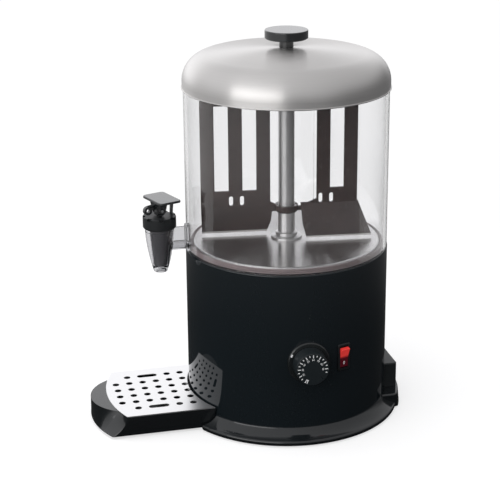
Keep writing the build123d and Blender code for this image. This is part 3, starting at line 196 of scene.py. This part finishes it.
def plated(name, colour, roughness):
    """Bare or plated metal: cloudy colour and gloss, with fine rolling marks."""
    finish = Finish(name, colour, roughness, {"Metallic": 1.0})
    place = finish.place()
    cloud = finish.noise(place, scale=90.0, detail=4.0)
    darker = tuple(0.72 * c for c in colour)
    finish.feed({
        "Base Color": finish.mix(cloud, darker, colour),
        "Roughness": roughness * 0.75 + cloud * (roughness * 0.5),
    })
    finish.bump(finish.noise(place, scale=1800.0, detail=3.0), 0.000006)
    return finish


dress(moulded("foot_rubber_black", (0.02, 0.02, 0.02), 0.72, grain=0.00002), "foot_ring")
zinc = plated("zinc_plated_steel", (0.56, 0.57, 0.58), 0.38)
dress(zinc, "base_plate", "base_screws")

# Drum
# Rolled sheet steel, stove enamelled in mirror-gloss black, with its top rim turned in.
# Stands on the base's ledge and is clamped by the tie rods inside.

enamel_black, dust_grey = (0.0092, 0.0132, 0.0158), (0.03, 0.03, 0.03)
enamel = Finish("drum_black_enamel", enamel_black, 0.045, {"Specular IOR Level": 0.45})
place = enamel.place()
ripple = enamel.noise(place, scale=9.0, detail=1.0)
peel = enamel.noise(place, scale=220.0)
dust = enamel.noise(place, scale=420.0, detail=4.0).step(0.62, 0.8)
enamel.feed({
    "Base Color": enamel.mix(dust * 0.35, enamel_black, dust_grey),
    "Roughness": 0.035 + dust * 0.12,
})
enamel.bump(ripple + peel * 0.02, 0.0002)
dress(enamel, "drum")

# Rear cover, cord bush and terminals
# A plain black moulded box behind the drum, over the terminals, screwed on from under the pedestal.
# The ringed rubber bush sits in its far side.

cover_satin = {"Specular IOR Level": 0.25}
cover_black = moulded("cover_black", (0.015, 0.0175, 0.0185), 0.36, grain=0.00001, plain=cover_satin)
dress(cover_black, "rear_cover")
dress(moulded("cord_rubber_black", (0.016, 0.016, 0.017), 0.6, grain=0.00001), "cord_bush")
dress(moulded("terminal_grey", (0.42, 0.42, 0.4), 0.45), "terminal_block")
dress(zinc, "rear_cover_screws")

# Heated plate and its seal
# The steel floor of the bowl, turned so that its brushing runs in rings, over the water bath.
# The silicone ring round it seals the bowl and shows grey-brown through the clear wall.


def turned_steel(name, colour, roughness, rings, stretch):
    """Steel brushed in rings about Z: noise that is fine in radius and height and slow round the axis.

    rings is the number of lines in a metre, and stretch is how far highlights spread across them."""
    brushed = {"Metallic": 1.0, "Anisotropic": stretch, "Anisotropic Rotation": 0.25}
    finish = Finish(name, colour, roughness, brushed)
    place = finish.place()
    x, y, z = (finish.axis(place, number) for number in range(3))
    radius = finish.length(finish.vector(x, y, 0.0))
    angle = finish.math("ARCTAN2", y, x)
    lines = finish.noise(finish.vector(radius * rings, z * rings, angle * 2.5), scale=1.0, detail=3.0)
    broad = finish.noise(finish.vector(radius * 60.0, z * 60.0, angle * 1.2), scale=1.0)
    darker = tuple(0.86 * c for c in colour)
    finish.feed({
        "Base Color": finish.mix(lines * 0.6 + broad * 0.4, darker, colour),
        "Roughness": roughness * 0.8 + lines * (roughness * 0.25) + broad * (roughness * 0.15),
    })
    finish.bump(lines, 0.000008)
    return finish


plate_steel = turned_steel("heated_plate_steel", (0.7, 0.69, 0.685), 0.25, rings=900.0, stretch=0.9)
dress(plate_steel, "heated_plate")
dress(moulded("seal_silicone", (0.25, 0.205, 0.205), 0.42, grain=0.000006), "plate_seal")

# Water bath, heating element and thermostat
# A drawn steel pan under the plate with a tubular element in it, and a capillary thermostat.
# Tie rods clamp the pan down, nuts seal the element, and the thermostat's bush is nutted to the drum.

brass = plated("brass", (0.72, 0.5, 0.2), 0.32)
dress(plated("tank_steel", (0.6, 0.6, 0.6), 0.3), "water_tank")
dress(plated("element_sheath", (0.32, 0.31, 0.3), 0.45), "heating_element")
dress(plated("copper_tube", (0.75, 0.38, 0.25), 0.3), "thermostat_bulb")
dress(moulded("thermostat_cream", (0.6, 0.55, 0.45), 0.5), "thermostat")
dress(brass, "element_nuts", "thermostat_spindle")
dress(zinc, "thermostat_nut", "tie_rods", "tie_rod_nuts")

# Gear motor
# A painted gear motor on a zinc-plated bracket, which hangs from the tank by three standoffs.
# A sleeve with two set-screw holes joins its output shaft to the stirrer's shaft.

dress(moulded("motor_grey_paint", (0.12, 0.13, 0.14), 0.4), "gear_motor")
dress(zinc, "motor_bracket", "motor_standoffs", "motor_screws", "motor_output_shaft", "shaft_coupling")

# Centre column and drive shaft
# A steel tube with a stepped foot, set through the plate, round the stirrer's shaft in brass bushes.
# Polished on a lathe, so it keeps very fine rings.

column_steel = turned_steel("column_steel", (0.72, 0.715, 0.71), 0.34, rings=700.0, stretch=0.9)
dress(column_steel, "centre_column", "drive_shaft")
dress(brass, "shaft_bushes")

# Stirrer
# Two folded paddles, a guide ring and a crossbar in dark brown food-grade plastic.
# The paddles are cut from sheet; a pale band along their lower edges is a painted highlight, where the cut
# edge catches the light.

brown_dark, brown_light = (0.03, 0.0195, 0.018), (0.064, 0.042, 0.038)
# The pale colour is a painted highlight for the paddles' lower edges, where the cut edge catches the light.
scuffed, painted_highlight_pale = (0.16, 0.135, 0.125), (0.72, 0.7, 0.68)
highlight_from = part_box("front_paddle")[0].z + 0.002
brown = Finish("stirrer_brown", brown_dark, 0.14, {"Specular IOR Level": 0.6})
place = brown.place()
flow = brown.noise(place, scale=28.0, detail=4.0)
scuff = brown.noise(place, scale=160.0, detail=5.0).step(0.55, 0.8)
# Painted highlight: the lowest millimetre of the paddles is mixed towards the pale colour, standing for the
# cut edge catching the light.
edge_highlight = 1.0 - brown.axis(place, 2).step(highlight_from, highlight_from + 0.001)
sheet_brown = brown.mix(scuff * 0.25, brown.mix(flow, brown_dark, brown_light), scuffed)
brown.feed({
    "Base Color": brown.mix(edge_highlight * 0.85, sheet_brown, painted_highlight_pale),
    "Roughness": 0.11 + scuff * 0.2 + edge_highlight * 0.25,
})
brown.bump(brown.noise(place, scale=900.0, detail=3.0), 0.00001)
dress(brown, "stirrer_hub", "front_paddle", "rear_paddle", "stirrer_crossbar")

# Bowl
# A clear plastic tube, open at both ends, with polished edges; it stands on the drum's rim.
# The wall is even, so it shows mainly at its edges and where it mirrors the light.


def clear(name, colour, roughness, ior):
    """Clear plastic that refracts, and lets light from the lamps through to what is behind it."""
    finish = Finish(name, colour, roughness, {"Transmission Weight": 1.0, "IOR": ior})
    haze = finish.noise(finish.place(), scale=60.0, detail=3.0)
    finish.feed({"Roughness": roughness * 0.6 + haze * (roughness * 0.8)})
    tint = (*(c ** 0.5 for c in colour), 1.0)
    let_through = finish.node("ShaderNodeBsdfTransparent", {}, {"Color": tint})
    refracted = Wire(finish, finish.shader.outputs[0])
    shares = {0: finish.ray("Is Shadow Ray"), 1: refracted, 2: let_through}
    both = finish.node("ShaderNodeMixShader", {}, shares)
    finish.join(finish.tree.nodes["Material Output"], {"Surface": both})
    return finish


dress(clear("bowl_clear", (0.95, 0.95, 0.956), 0.015, ior=1.47), "bowl")

# Lid
# Spun stainless steel with a rolled rim, brushed in rings while it turns on the lathe.
# It caps the bowl; the knob's screw goes through its crown.

lid_steel = turned_steel("lid_brushed_steel", (0.72, 0.705, 0.69), 0.36, rings=800.0, stretch=0.88)
dress(lid_steel, "lid")

# Lid knob
# A flat black disc on a short stem, turned from phenolic plastic and polished.
# One screw from inside the lid holds it.

lacquer = {"Specular IOR Level": 0.75, "Coat Weight": 0.6, "Coat Roughness": 0.05}
dress(moulded("knob_black", (0.010, 0.0115, 0.0125), 0.12, plain=lacquer), "lid_knob")
dress(zinc, "lid_knob_screw")

# Tap body
# One clear moulding: a tapering barrel, a hollow arm into the bowl, a gusset and a saddle.
# The saddle is bonded to the bowl's wall.

dress(clear("tap_clear", (0.6, 0.6, 0.615), 0.02, ior=1.49), "tap_body")

# Tap collar, lever and stem
# A screwed collar with a notched edge, a lever with a broad thumb plate, and the stem it lifts.
# Moulded in black, the collar satin and the lever glossy; a steel pin joins lever and stem.

tap_black = (0.009, 0.0105, 0.0115)
collar_satin = {"Specular IOR Level": 0.4}
dress(moulded("collar_satin_black", tap_black, 0.42, plain=collar_satin), "tap_collar")
dress(moulded("tap_gloss_black", tap_black, 0.14, plain=lacquer), "tap_lever", "tap_stem")
dress(zinc, "lever_pin")

# Tap seat cup
# A dark silicone cup inside the barrel: a clamped flange, a cone and a tip that closes the spout.
# Revolved about the tap's axis. In the real tap the flange stays put and the wall shortens as the stem
# lifts the tip; this mesh is fixed and does not follow the stem.

joints = {joint["name"]: joint for joint in frame["joints"]}
tap_axis = joints["lever_press"]["pos_m"][:2]
cup_foot, cup_top = (corner.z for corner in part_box("tap_seat_cup"))


def wrapped(name, points):
    """Closed surface over a grid of points, whose last row and last column join on to the first."""
    rows, columns = points.shape[:2]
    row, column = np.meshgrid(np.arange(rows), np.arange(columns), indexing="ij")
    here, below, beside = row * columns, (row + 1) % rows * columns, (column + 1) % columns
    corners = [here + column, here + beside, below + beside, below + column]
    mesh = bpy.data.meshes.new(name)
    mesh.from_pydata(points.reshape(-1, 3), [], np.stack(corners, axis=-1).reshape(-1, 4))
    return mesh


def revolved(name, outline, axis, foot, sides):
    """Surface of revolution: a closed outline of (radius, height) points carried round an upright axis."""
    radius, height = outline.T[..., None]
    turn = np.linspace(0.0, 2.0 * np.pi, sides, endpoint=False)
    x = axis[0] + radius * np.cos(turn)
    y = axis[1] + radius * np.sin(turn)
    z = np.broadcast_to(foot + height, x.shape)
    return wrapped(name, np.stack([x, y, z], axis=-1))


def shown(name, mesh, finish, body):
    """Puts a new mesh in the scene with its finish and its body."""
    mesh.materials.append(finish.material)
    piece = bpy.data.objects.new(name, mesh)
    bpy.context.scene.collection.objects.link(piece)
    if body:
        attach(piece, body)
    return piece


# The outline, in millimetres from the axis and above the foot: tip, cone, flange, cone and stem socket.
cone = np.linspace(0.0, 1.0, 28)[:, None]
cup_outline = 0.001 * np.concatenate([
    [(0.3, 0.0), (4.8, 0.0), (5.3, 0.2), (6.6, 1.5)],
    (7.5, 2.8) + cone * (5.4, 51.9),
    [(13.2, 54.9), (16.2, 54.9), (16.3, 55.3), (16.3, 56.4), (16.0, 56.7)],
    (10.7, 56.7) - cone * (5.2, 44.7),
    [(3.4, 10.9), (3.4, 7.9), (4.9, 7.9), (4.9, 4.6), (0.3, 4.6)],
])
cup_mesh = revolved("tap_cup_skin", cup_outline, tap_axis, cup_foot, sides=64)
silicone = moulded("cup_dark_silicone", (0.2, 0.197, 0.203), 0.36, grain=0.000006)
cup = shown("tap_cup_skin", cup_mesh, silicone, None)
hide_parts("tap_seat_cup")
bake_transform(cup)

# Drip tray
# A black moulded tub with drafted sides and a rounded lip in front, that slides into the base's recess.
# It stands on two runners of its own, and is satin under a thin gloss coat.

tray_gloss = {"Specular IOR Level": 0.6, "Coat Weight": 0.35}
tray_black = moulded("tray_black", (0.007, 0.0085, 0.0095), 0.2, grain=0.000006, plain=tray_gloss)
dress(tray_black, "drip_tray")

# Drip grid
# Punched stainless sheet with rows of round holes and two slots, lying on the tray's rim.
# Brushed from front to back before punching.

brushed_dark, brushed_light = (0.92, 0.92, 0.93), (0.98, 0.98, 0.98)
bright = Finish("grid_bright_steel", brushed_dark, 0.34, {"Metallic": 1.0})
place = bright.place()
drawn_out = bright.node("ShaderNodeMapping", {}, {"Vector": place, "Scale": (1.0, 0.04, 1.0)})
lines = bright.noise(drawn_out, scale=1500.0, detail=3.0)
cloud = bright.noise(place, scale=40.0, detail=3.0)
bright.feed({
    "Base Color": bright.mix(lines * 0.5 + cloud * 0.5, brushed_dark, brushed_light),
    "Roughness": 0.24 + lines * 0.08 + cloud * 0.06,
})
bright.bump(lines, 0.000006)
dress(bright, "drip_grid")

# Thermostat dial and bezel
# A moulded black knob with a flat face on the thermostat's spindle, in front of a round bezel.
# The scale is printed in white; the bezel carries the white index mark.

dress(moulded("dial_black", (0.0105, 0.0145, 0.0165), 0.3, grain=0.000006), "dial")
dress(moulded("bezel_black", (0.010, 0.012, 0.0125), 0.2), "dial_bezel")
print_white = moulded("scale_white_print", (0.85, 0.86, 0.86), 0.5)


def unit(vector):
    """A vector's direction, as a vector of length 1."""
    return np.array(vector) / np.linalg.norm(vector)


def front_of(name, outward):
    """How far a CAD node reaches along a direction from the frame's origin, in millimetres."""
    points = np.empty(3 * len(nodes[name].data.vertices))
    nodes[name].data.vertices.foreach_get("co", points)
    return 1000.0 * (points.reshape(-1, 3) @ outward).max()


up = np.array([0.0, 0.0, 1.0])
dial_out = unit(joints["dial_turn"]["axis"])
dial_right = np.cross(up, dial_out)
dial_height = 1000.0 * joints["dial_turn"]["pos_m"][2]
dial_face, bezel_face = front_of("dial", dial_out), front_of("dial_bezel", dial_out)
print_sunk, tick_lift, figure_lift, index_half = 0.1, 0.08, 0.06, 0.2


def on_dial(across, rise, out):
    """Points on the dial from millimetres to its right, up from its axis and out from the drum's axis."""
    across, rise, out = (np.asarray(v, float)[..., None] for v in (across, rise, out))
    return 0.001 * (across * dial_right + (dial_height + rise) * up + out * dial_out)


def bars(name, near, far, angles, width, back, front):
    """Raised printed bars: boxes from a near to a far radius along each angle, drawn as one mesh."""
    near, far, angles, width = (np.asarray(v, float)[:, None] for v in (near, far, angles, width))
    along = np.array([0, 1, 1, 0, 0, 1, 1, 0])
    side = np.array([-1, -1, 1, 1, -1, -1, 1, 1]) * width / 2
    depth = np.array([back] * 4 + [front] * 4)
    radius = near + (far - near) * along
    across = radius * np.cos(angles) - side * np.sin(angles)
    rise = radius * np.sin(angles) + side * np.cos(angles)
    points = on_dial(across, rise, np.broadcast_to(depth, radius.shape)).reshape(-1, 3)
    box = np.array([(0, 3, 2, 1), (4, 5, 6, 7), (0, 1, 5, 4), (1, 2, 6, 5), (2, 3, 7, 6), (3, 0, 4, 7)])
    first = 8 * np.arange(len(near))
    mesh = bpy.data.meshes.new(name)
    mesh.from_pydata(points, [], (first[:, None, None] + box).reshape(-1, 4))
    return mesh


# Seventeen ticks, every second one long and numbered, then the two bars and the foot of the off mark.
tick_angles = np.radians(np.linspace(221.0, -15.4, 17))
long_ticks = np.arange(17) % 2 == 1
near_ends = np.append(np.where(long_ticks, 14.3, 15.7), [14.6, 14.6, 13.6])
far_ends = np.append(np.where(long_ticks, 18.0, 17.8), [18.2, 18.2, 14.6])
mark_angles = np.append(tick_angles, np.radians([247.0, 239.0, 243.0]))
mark_widths = np.append(np.full(19, 1.0), 3.0)
ticks = bars(
    "dial_ticks", near_ends, far_ends, mark_angles, mark_widths,
    back=dial_face - print_sunk, front=dial_face + tick_lift,
)
shown("dial_ticks", ticks, print_white, "dial")
index = bars(
    "dial_index", near=[22.2], far=[24.2], angles=np.radians([152.5]), width=[3.4],
    back=bezel_face - index_half, front=bezel_face + index_half,
)
shown("dial_index", index, print_white, "machine")


def figures(name, words, angles, radius, size, back, front):
    """Printed figures: each text made a flat mesh, centred at its angle and radius on the dial's face."""
    points, triangles, total = [], [], 0
    for word, angle in zip(words, angles):
        text = bpy.data.curves.new(name, "FONT")
        text.body, text.size, text.extrude = word, size * 0.001, (front - back) * 0.0005
        text.align_x, text.align_y, text.resolution_u = "CENTER", "CENTER", 3
        holder = bpy.data.objects.new(name, text)
        mesh = bpy.data.meshes.new_from_object(holder)
        mesh.calc_loop_triangles()
        flat = np.empty(3 * len(mesh.vertices))
        mesh.vertices.foreach_get("co", flat)
        corners = np.empty(3 * len(mesh.loop_triangles), np.int32)
        mesh.loop_triangles.foreach_get("vertices", corners)
        x, y, z = 1000.0 * flat.reshape(-1, 3).T
        lean = angle - np.pi / 2
        across = radius * np.cos(angle) + x * np.cos(lean) - y * np.sin(lean)
        rise = radius * np.sin(angle) + x * np.sin(lean) + y * np.cos(lean)
        points.append(on_dial(across, rise, (back + front) / 2 + z))
        triangles.append(total + corners.reshape(-1, 3))
        total += len(x)
        bpy.data.objects.remove(holder)
        bpy.data.curves.remove(text)
        bpy.data.meshes.remove(mesh)
    made = bpy.data.meshes.new(name)
    made.from_pydata(np.concatenate(points), [], np.concatenate(triangles))
    return made


degrees = [str(10 * n) for n in range(2, 10)]
numbers = figures(
    "dial_numbers", degrees, tick_angles[long_ticks], radius=11.9, size=3.2,
    back=dial_face - print_sunk, front=dial_face + figure_lift,
)
shown("dial_numbers", numbers, print_white, "dial")

# Switch
# A black moulded frame set into the drum's cut-out, with a red rocker on a pivot.
# The rocker's upper half is painted a brighter red that glows, a painted highlight where its raised face
# catches the light; its pressed lower half is painted darker, as painted shade, and carries a white ring.

# The rocker's hollow face, in millimetres: rise of its ends, half its length, middle over the pivot.
rocker_rise, rocker_half, rocker_crown = 2.1, 12.2, 4.6
rocker_lean = np.radians(10.0)
pivot = 1000.0 * np.array(joints["rocker_tilt"]["pos_m"])
rocker_right = unit(joints["rocker_tilt"]["axis"])
rocker_out = np.cross(rocker_right, up)
pivot_out, pivot_height = pivot @ rocker_out, pivot[2]

dress(moulded("switch_black", (0.010, 0.011, 0.012), 0.3), "switch_housing")
# Painted light: the brighter red and glow stand for a painted highlight on the upper half, and the darker
# red for painted shade on the lower half.
shade_red, highlight_red = (0.1, 0.006, 0.012), (0.62, 0.03, 0.025)
shade_glow, highlight_glow = (0.008, 0.0, 0.001), (0.42, 0.028, 0.025)
red = Finish("rocker_red_painted_highlight", highlight_red, 0.22, {"Emission Strength": 1.0})
place = red.place()
# The split at the pivot's height paints the upper half as lit and the lower half as shaded.
upper_highlight = red.axis(place, 2).step(0.001 * pivot_height - 0.0023, 0.001 * pivot_height + 0.0027)
patch = red.noise(place, scale=260.0)
red.feed({
    "Base Color": red.mix(upper_highlight, shade_red, highlight_red),
    "Emission Color": red.mix(upper_highlight * (0.55 + patch * 0.45), shade_glow, highlight_glow),
    "Roughness": 0.18 + patch * 0.1,
})
dress(red, "switch_rocker")


def face_ring(name, outer, inner, middle, back, front):
    """Oval ring on the rocker's lower half: outer and inner ellipses, sunk and raised, joined and closed.

    A point stands over the pivot by the crown and the face's rise out to it, and leans with the rocker."""
    turn = np.linspace(0.0, 2.0 * np.pi, 32, endpoint=False)
    half_width, half_height = np.array([outer, outer, inner, inner]).T[..., None]
    lift = np.array([back, front, front, back])[:, None]
    along = middle + half_height * np.sin(turn)
    stands = rocker_crown - along * rocker_rise / rocker_half + lift
    across = half_width * np.cos(turn)
    out = pivot_out + stands * np.cos(rocker_lean) + along * np.sin(rocker_lean)
    height = pivot_height - stands * np.sin(rocker_lean) + along * np.cos(rocker_lean)
    across, out, height = (v[..., None] for v in (across, out, height))
    return wrapped(name, 0.001 * (across * rocker_right + out * rocker_out + height * up))


ring = face_ring("rocker_mark", outer=(1.2, 2.0), inner=(0.6, 1.35), middle=-6.6, back=-0.05, front=0.08)
shown("rocker_mark", ring, print_white, "rocker")

# Studio
# A floor that is white to the camera and through clear walls, and darker to most bounced rays.
# A soft sky, brighter on the left than on the right, a lamp overhead, a broad one in front, and the camera.

view_turn, view_rise = np.radians(75.5), np.radians(18.843)
view_centre, view_distance = 0.2097 * up, 1.7819
toward = np.array([np.sin(view_turn), -np.cos(view_turn), 0.0])
aside = np.array([np.cos(view_turn), np.sin(view_turn), 0.0])
black, white = (0.0, 0.0, 0.0), (1.0, 1.0, 1.0)
wall_faces = 3.5


def grey(level):
    """Neutral colour of one level."""
    return (level, level, level)


def seen_plainly(finish, allowed):
    """1 for rays from the camera, straight or through a clear wall, 0 for rays off any other surface.

    A ray mirrored inside a wall still counts while it has crossed fewer faces than allowed."""
    excess = finish.math("MAXIMUM", finish.ray("Transmission Depth") - allowed, 0.0)
    turned_back = finish.ray("Diffuse Depth") + finish.ray("Glossy Depth") * excess
    from_camera = finish.math("MAXIMUM", finish.ray("Is Camera Ray"), finish.ray("Is Transmission Ray"))
    return from_camera * finish.math("LESS_THAN", turned_back, 0.4)


floor_half, floor_drop = 9.0, 0.0003
square = np.array([(-1, -1, 0), (1, -1, 0), (1, 1, 0), (-1, 1, 0)])
floor_mesh = bpy.data.meshes.new("floor")
floor_mesh.from_pydata(floor_half * square - floor_drop * up, [], [(0, 1, 2, 3)])
floor = bpy.data.objects.new("floor", floor_mesh)
bpy.context.scene.collection.objects.link(floor)
pale = Finish("floor_pale", grey(0.19), 0.9, {"Specular IOR Level": 0.0, "Emission Strength": 1.0})
place = pale.place()
distance = pale.length(place)
far = distance.step(0.3, 1.0)
far_left = distance.step(0.75, 1.3) * (1.0 - pale.dot(place, aside).step(-0.5, 0.4))
in_view = seen_plainly(pale, wall_faces - wall_faces * pale.dot(place, toward).step(0.0, 0.1))
seen_colour = pale.mix(far, grey(0.5), grey(0.02))
seen_glow = pale.mix(far, grey(0.6), white)
bounced_colour = pale.mix(far, grey(0.035), grey(0.19))
bounced_glow = pale.mix(pale.ray("Is Glossy Ray") * far_left, black, grey(0.4))
pale.feed({
    "Base Color": pale.mix(in_view, bounced_colour, seen_colour),
    "Emission Color": pale.mix(in_view, bounced_glow, seen_glow),
})
floor_mesh.materials.append(pale.material)


class Sky(Finish):
    """The world's own tree, built with the same nodes as a finish."""

    def __init__(self, tree):
        self.tree = tree
        self.shader = tree.nodes["Background"]


world = bpy.data.worlds.new("studio")
bpy.context.scene.world = world
world.use_nodes = True
sky = Sky(world.node_tree)
heading = sky.node("ShaderNodeTexCoord", {}, {}, "Generated")
rise = sky.dot(heading, up)
leftward = sky.dot(heading, -aside)
overhead = rise.step(0.05, 0.4)
dome = overhead * (0.66 + leftward * 0.2)
left = leftward.step(-0.2, 0.9)
before = sky.dot(heading, toward).step(0.3, 0.9)
behind = sky.dot(heading, -toward).step(0.3, 0.8) * (1.0 - sky.dot(heading, aside).step(0.1, 0.7))
low = (1.0 - overhead) * (left * 0.6 + before * 0.45 + behind * 0.55)
level = 0.1 + dome + low + behind * (1.0 - rise.step(0.3, 0.7)) * 0.35
brightest = 4.0
soft_light = sky.mix(level * (1.0 / brightest), black, (brightest, brightest, 1.02 * brightest))
sky.feed({"Color": sky.mix(seen_plainly(sky, wall_faces), soft_light, white), "Strength": 1.0})


def faced(right, back, spot):
    """Matrix of something at a spot whose X axis points right and whose Z axis points back."""
    turn = np.eye(4)
    turn[:3] = np.stack([right, np.cross(back, right), back, spot], axis=1)
    return Matrix(turn)


def lamp(name, spot, aim, width, height, power):
    """Soft rectangular lamp that faces a point; its height lies nearest to upright."""
    light = bpy.data.lights.new(name, "AREA")
    light.shape, light.size, light.size_y, light.energy = "RECTANGLE", width, height, power
    holder = bpy.data.objects.new(name, light)
    back = unit(spot - aim)
    right = unit(np.cross(toward if abs(back[2]) > 0.9 else up, back))
    holder.matrix_world = faced(right, back, spot)
    bpy.context.scene.collection.objects.link(holder)
    return holder


middle = 0.25 * up
top_spot = 0.1 * toward - 0.25 * aside + 1.75 * up
front_spot = 1.5 * toward - 0.95 * aside + 0.8 * up
above = lamp("overhead_lamp", top_spot, middle, width=0.9, height=0.9, power=6.5)
above.visible_glossy = False
lamp("front_lamp", front_spot, middle, width=1.9, height=0.9, power=9.5)

camera = bpy.data.cameras.new("camera")
camera.lens, camera.sensor_width = 105.28, 36.0
camera.shift_x, camera.shift_y = -0.0728, 0.0012
viewer = bpy.data.objects.new("camera", camera)
back = np.cos(view_rise) * toward + np.sin(view_rise) * up
viewer.matrix_world = faced(aside, back, view_centre + view_distance * back)
bpy.context.scene.collection.objects.link(viewer)
bpy.context.scene.camera = viewer
bpy.context.scene.view_settings.view_transform = "Standard"
